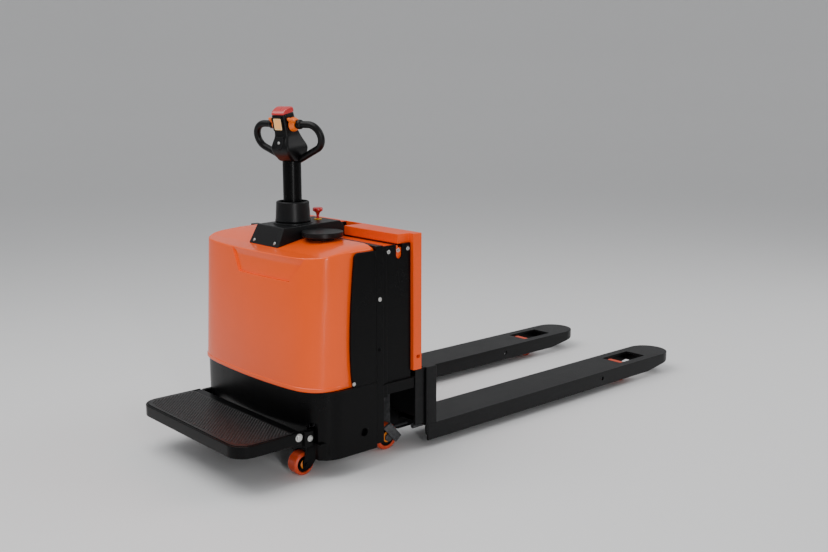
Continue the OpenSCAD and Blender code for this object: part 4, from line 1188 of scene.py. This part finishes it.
@dataclass
class SmallWheels:
    """Swivel casters in front and support wheels behind, with turned treads and hubs."""

    def build(self, maker: Maker) -> None:
        """Makes the four wheels and the caster forks."""
        for side in ("left", "right"):
            maker.refine("caster_fork_" + side, FINISH.black, 0.0010, clamp=True)
            self.wheel(maker, "caster_wheel_" + side, CASTER_BORE)
            self.wheel(maker, "support_wheel_" + side, AXLE_BORE)

    def wheel(self, maker: Maker, node: str, bore: float) -> None:
        """Makes a tread with bevelled shoulders, a dark disc and an amber hub.

        Args:
            maker: Makes the pieces.
            node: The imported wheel, which is also its body.
            bore: Radius of the axle hole in metres.
        """
        low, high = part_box(node)
        mid, r, half = (low + high) / 2, (high.z - low.z) / 2, (high.y - low.y) / 2
        at = turned((0, 1, 0), mid)
        rim = r * 0.70
        tread = Shape().lathe(both_halves(
            [(rim, -half + 0.004), (r * 0.78, -half + 0.0015), (r - 0.006, -half + 0.0015),
             (r - 0.0015, -half + 0.006), (r, -half + 0.009)]), at, 80)
        maker.build(node + "_tread", tread, node, FINISH.tread, [node], sharp=60)
        disc = Shape().lathe(both_halves(
            [(r * 0.40, -half + 0.003), (r * 0.45, -half + 0.0075), (rim + 0.0004, -half + 0.0065)]), at, 64)
        maker.build(node + "_disc", disc, node, FINISH.black, sharp=60)
        hub = Shape().lathe(both_halves(
            [(bore, -half), (r * 0.26, -half), (r * 0.34, -half + 0.002), (r * 0.41, -half + 0.003)]), at, 56)
        maker.build(node + "_hub", hub, node, FINISH.hub, sharp=60)


@dataclass
class DriveUnit:
    """The driven, steered wheel with its gearbox and motor."""

    def build(self, maker: Maker) -> None:
        """Makes the drive unit's pieces."""
        maker.refine_all((("drive_gearbox", FINISH.casting, 0.002, 2),
                          ("traction_motor", FINISH.motor, 0.0015, 2),
                          ("drive_hub", FINISH.casting, 0.001, 2),
                          ("drive_tyre", FINISH.tyre, 0.002, 3)))


@dataclass
class Studio:
    """A pale floor, soft lights and the camera."""

    eye: Point = (-2.5173, -2.6913, 1.1969)
    azimuth: float = -41.77
    height: float = 10.8
    lens: float = 43.65

    def build(self) -> None:
        """Makes the floor, the lights and the camera."""
        shape = Shape().lathe([(0.0, 0.0), (2.0, 0.0), (4.0, 0.0), (8.0, 0.0), (9.2, 0.08), (10.3, 0.35),
                               (11.2, 0.9), (11.8, 1.7), (12.0, 2.8), (12.0, 4.2)], Matrix.Identity(4), 96)
        floor = shape.placed("floor")
        for face in floor.data.polygons:
            face.use_smooth = True
        floor.data.materials.append(Finish("pale_floor", "", (0.84, 0.84, 0.84), rough=0.55, vary=0.03,
                                           specular=0.3).material())
        world = bpy.data.worlds.new("studio")
        bpy.context.scene.world = world
        world.use_nodes = True
        back = world.node_tree.nodes["Background"]
        back.inputs[0].default_value = (0.94, 0.95, 0.97, 1.0)
        back.inputs[1].default_value = 0.50
        self.light("key", (-1.8, 0.4, 3.6), (-0.1, 0.0, 0.3), 3.0, 95.0)
        self.light("side", (-2.05, -3.45, 1.15), (-0.4, -0.2, 0.45), 0.26, 40.0, 1.7)
        self.light("rim", (2.6, -1.6, 3.0), (0.3, 0.0, 0.1), 2.6, 50.0)
        self.camera()

    def light(self, name: str, at: Point, aim: Point, size: float, watts: float, tall: float = 0.0) -> None:
        """Adds one soft light.

        Args:
            name: Its name.
            at: Where it hangs.
            aim: What it faces.
            size: Its side in metres.
            watts: Its strength.
            tall: Its height in metres where it is a strip, or 0 for a square.
        """
        lamp = bpy.data.lights.new(name, "AREA")
        lamp.size, lamp.energy = size, watts
        if tall:
            lamp.shape, lamp.size_y = "RECTANGLE", tall
        self.aimed(linked(name, lamp), at, Vector(aim) - Vector(at))

    def camera(self) -> None:
        """Sets the camera to its place and direction."""
        a, e = math.radians(self.azimuth), math.radians(self.height)
        back = Vector((math.sin(a) * math.cos(e), -math.cos(a) * math.cos(e), math.sin(e)))
        lens = bpy.data.cameras.new("camera")
        lens.lens, lens.sensor_width = self.lens, 36.0
        lens.clip_start, lens.clip_end = 0.05, 200.0
        bpy.context.scene.camera = self.aimed(linked("camera", lens), self.eye, -back)

    def aimed(self, made: bpy.types.Object, at: Point, way: Vector) -> bpy.types.Object:
        """Stands a light or a camera at a place, facing a way."""
        made.location = at
        made.rotation_mode = "QUATERNION"
        made.rotation_quaternion = way.to_track_quat("-Z", "Y")
        return made


def main() -> None:
    """Builds every sub-assembly in order, then the studio."""
    logging.basicConfig(level=logging.INFO, format="%(name)s: %(message)s")
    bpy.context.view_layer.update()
    maker = Maker()
    for assembly in (Forks(), Hood(), BodyPanels(), BatteryBay(), Console(), Tiller(), Platform(),
                     SmallWheels(), DriveUnit()):
        assembly.build(maker)
    Studio().build()
    LOG.info("%d pieces", len(maker.made))


if __name__ == "__main__":
    main()
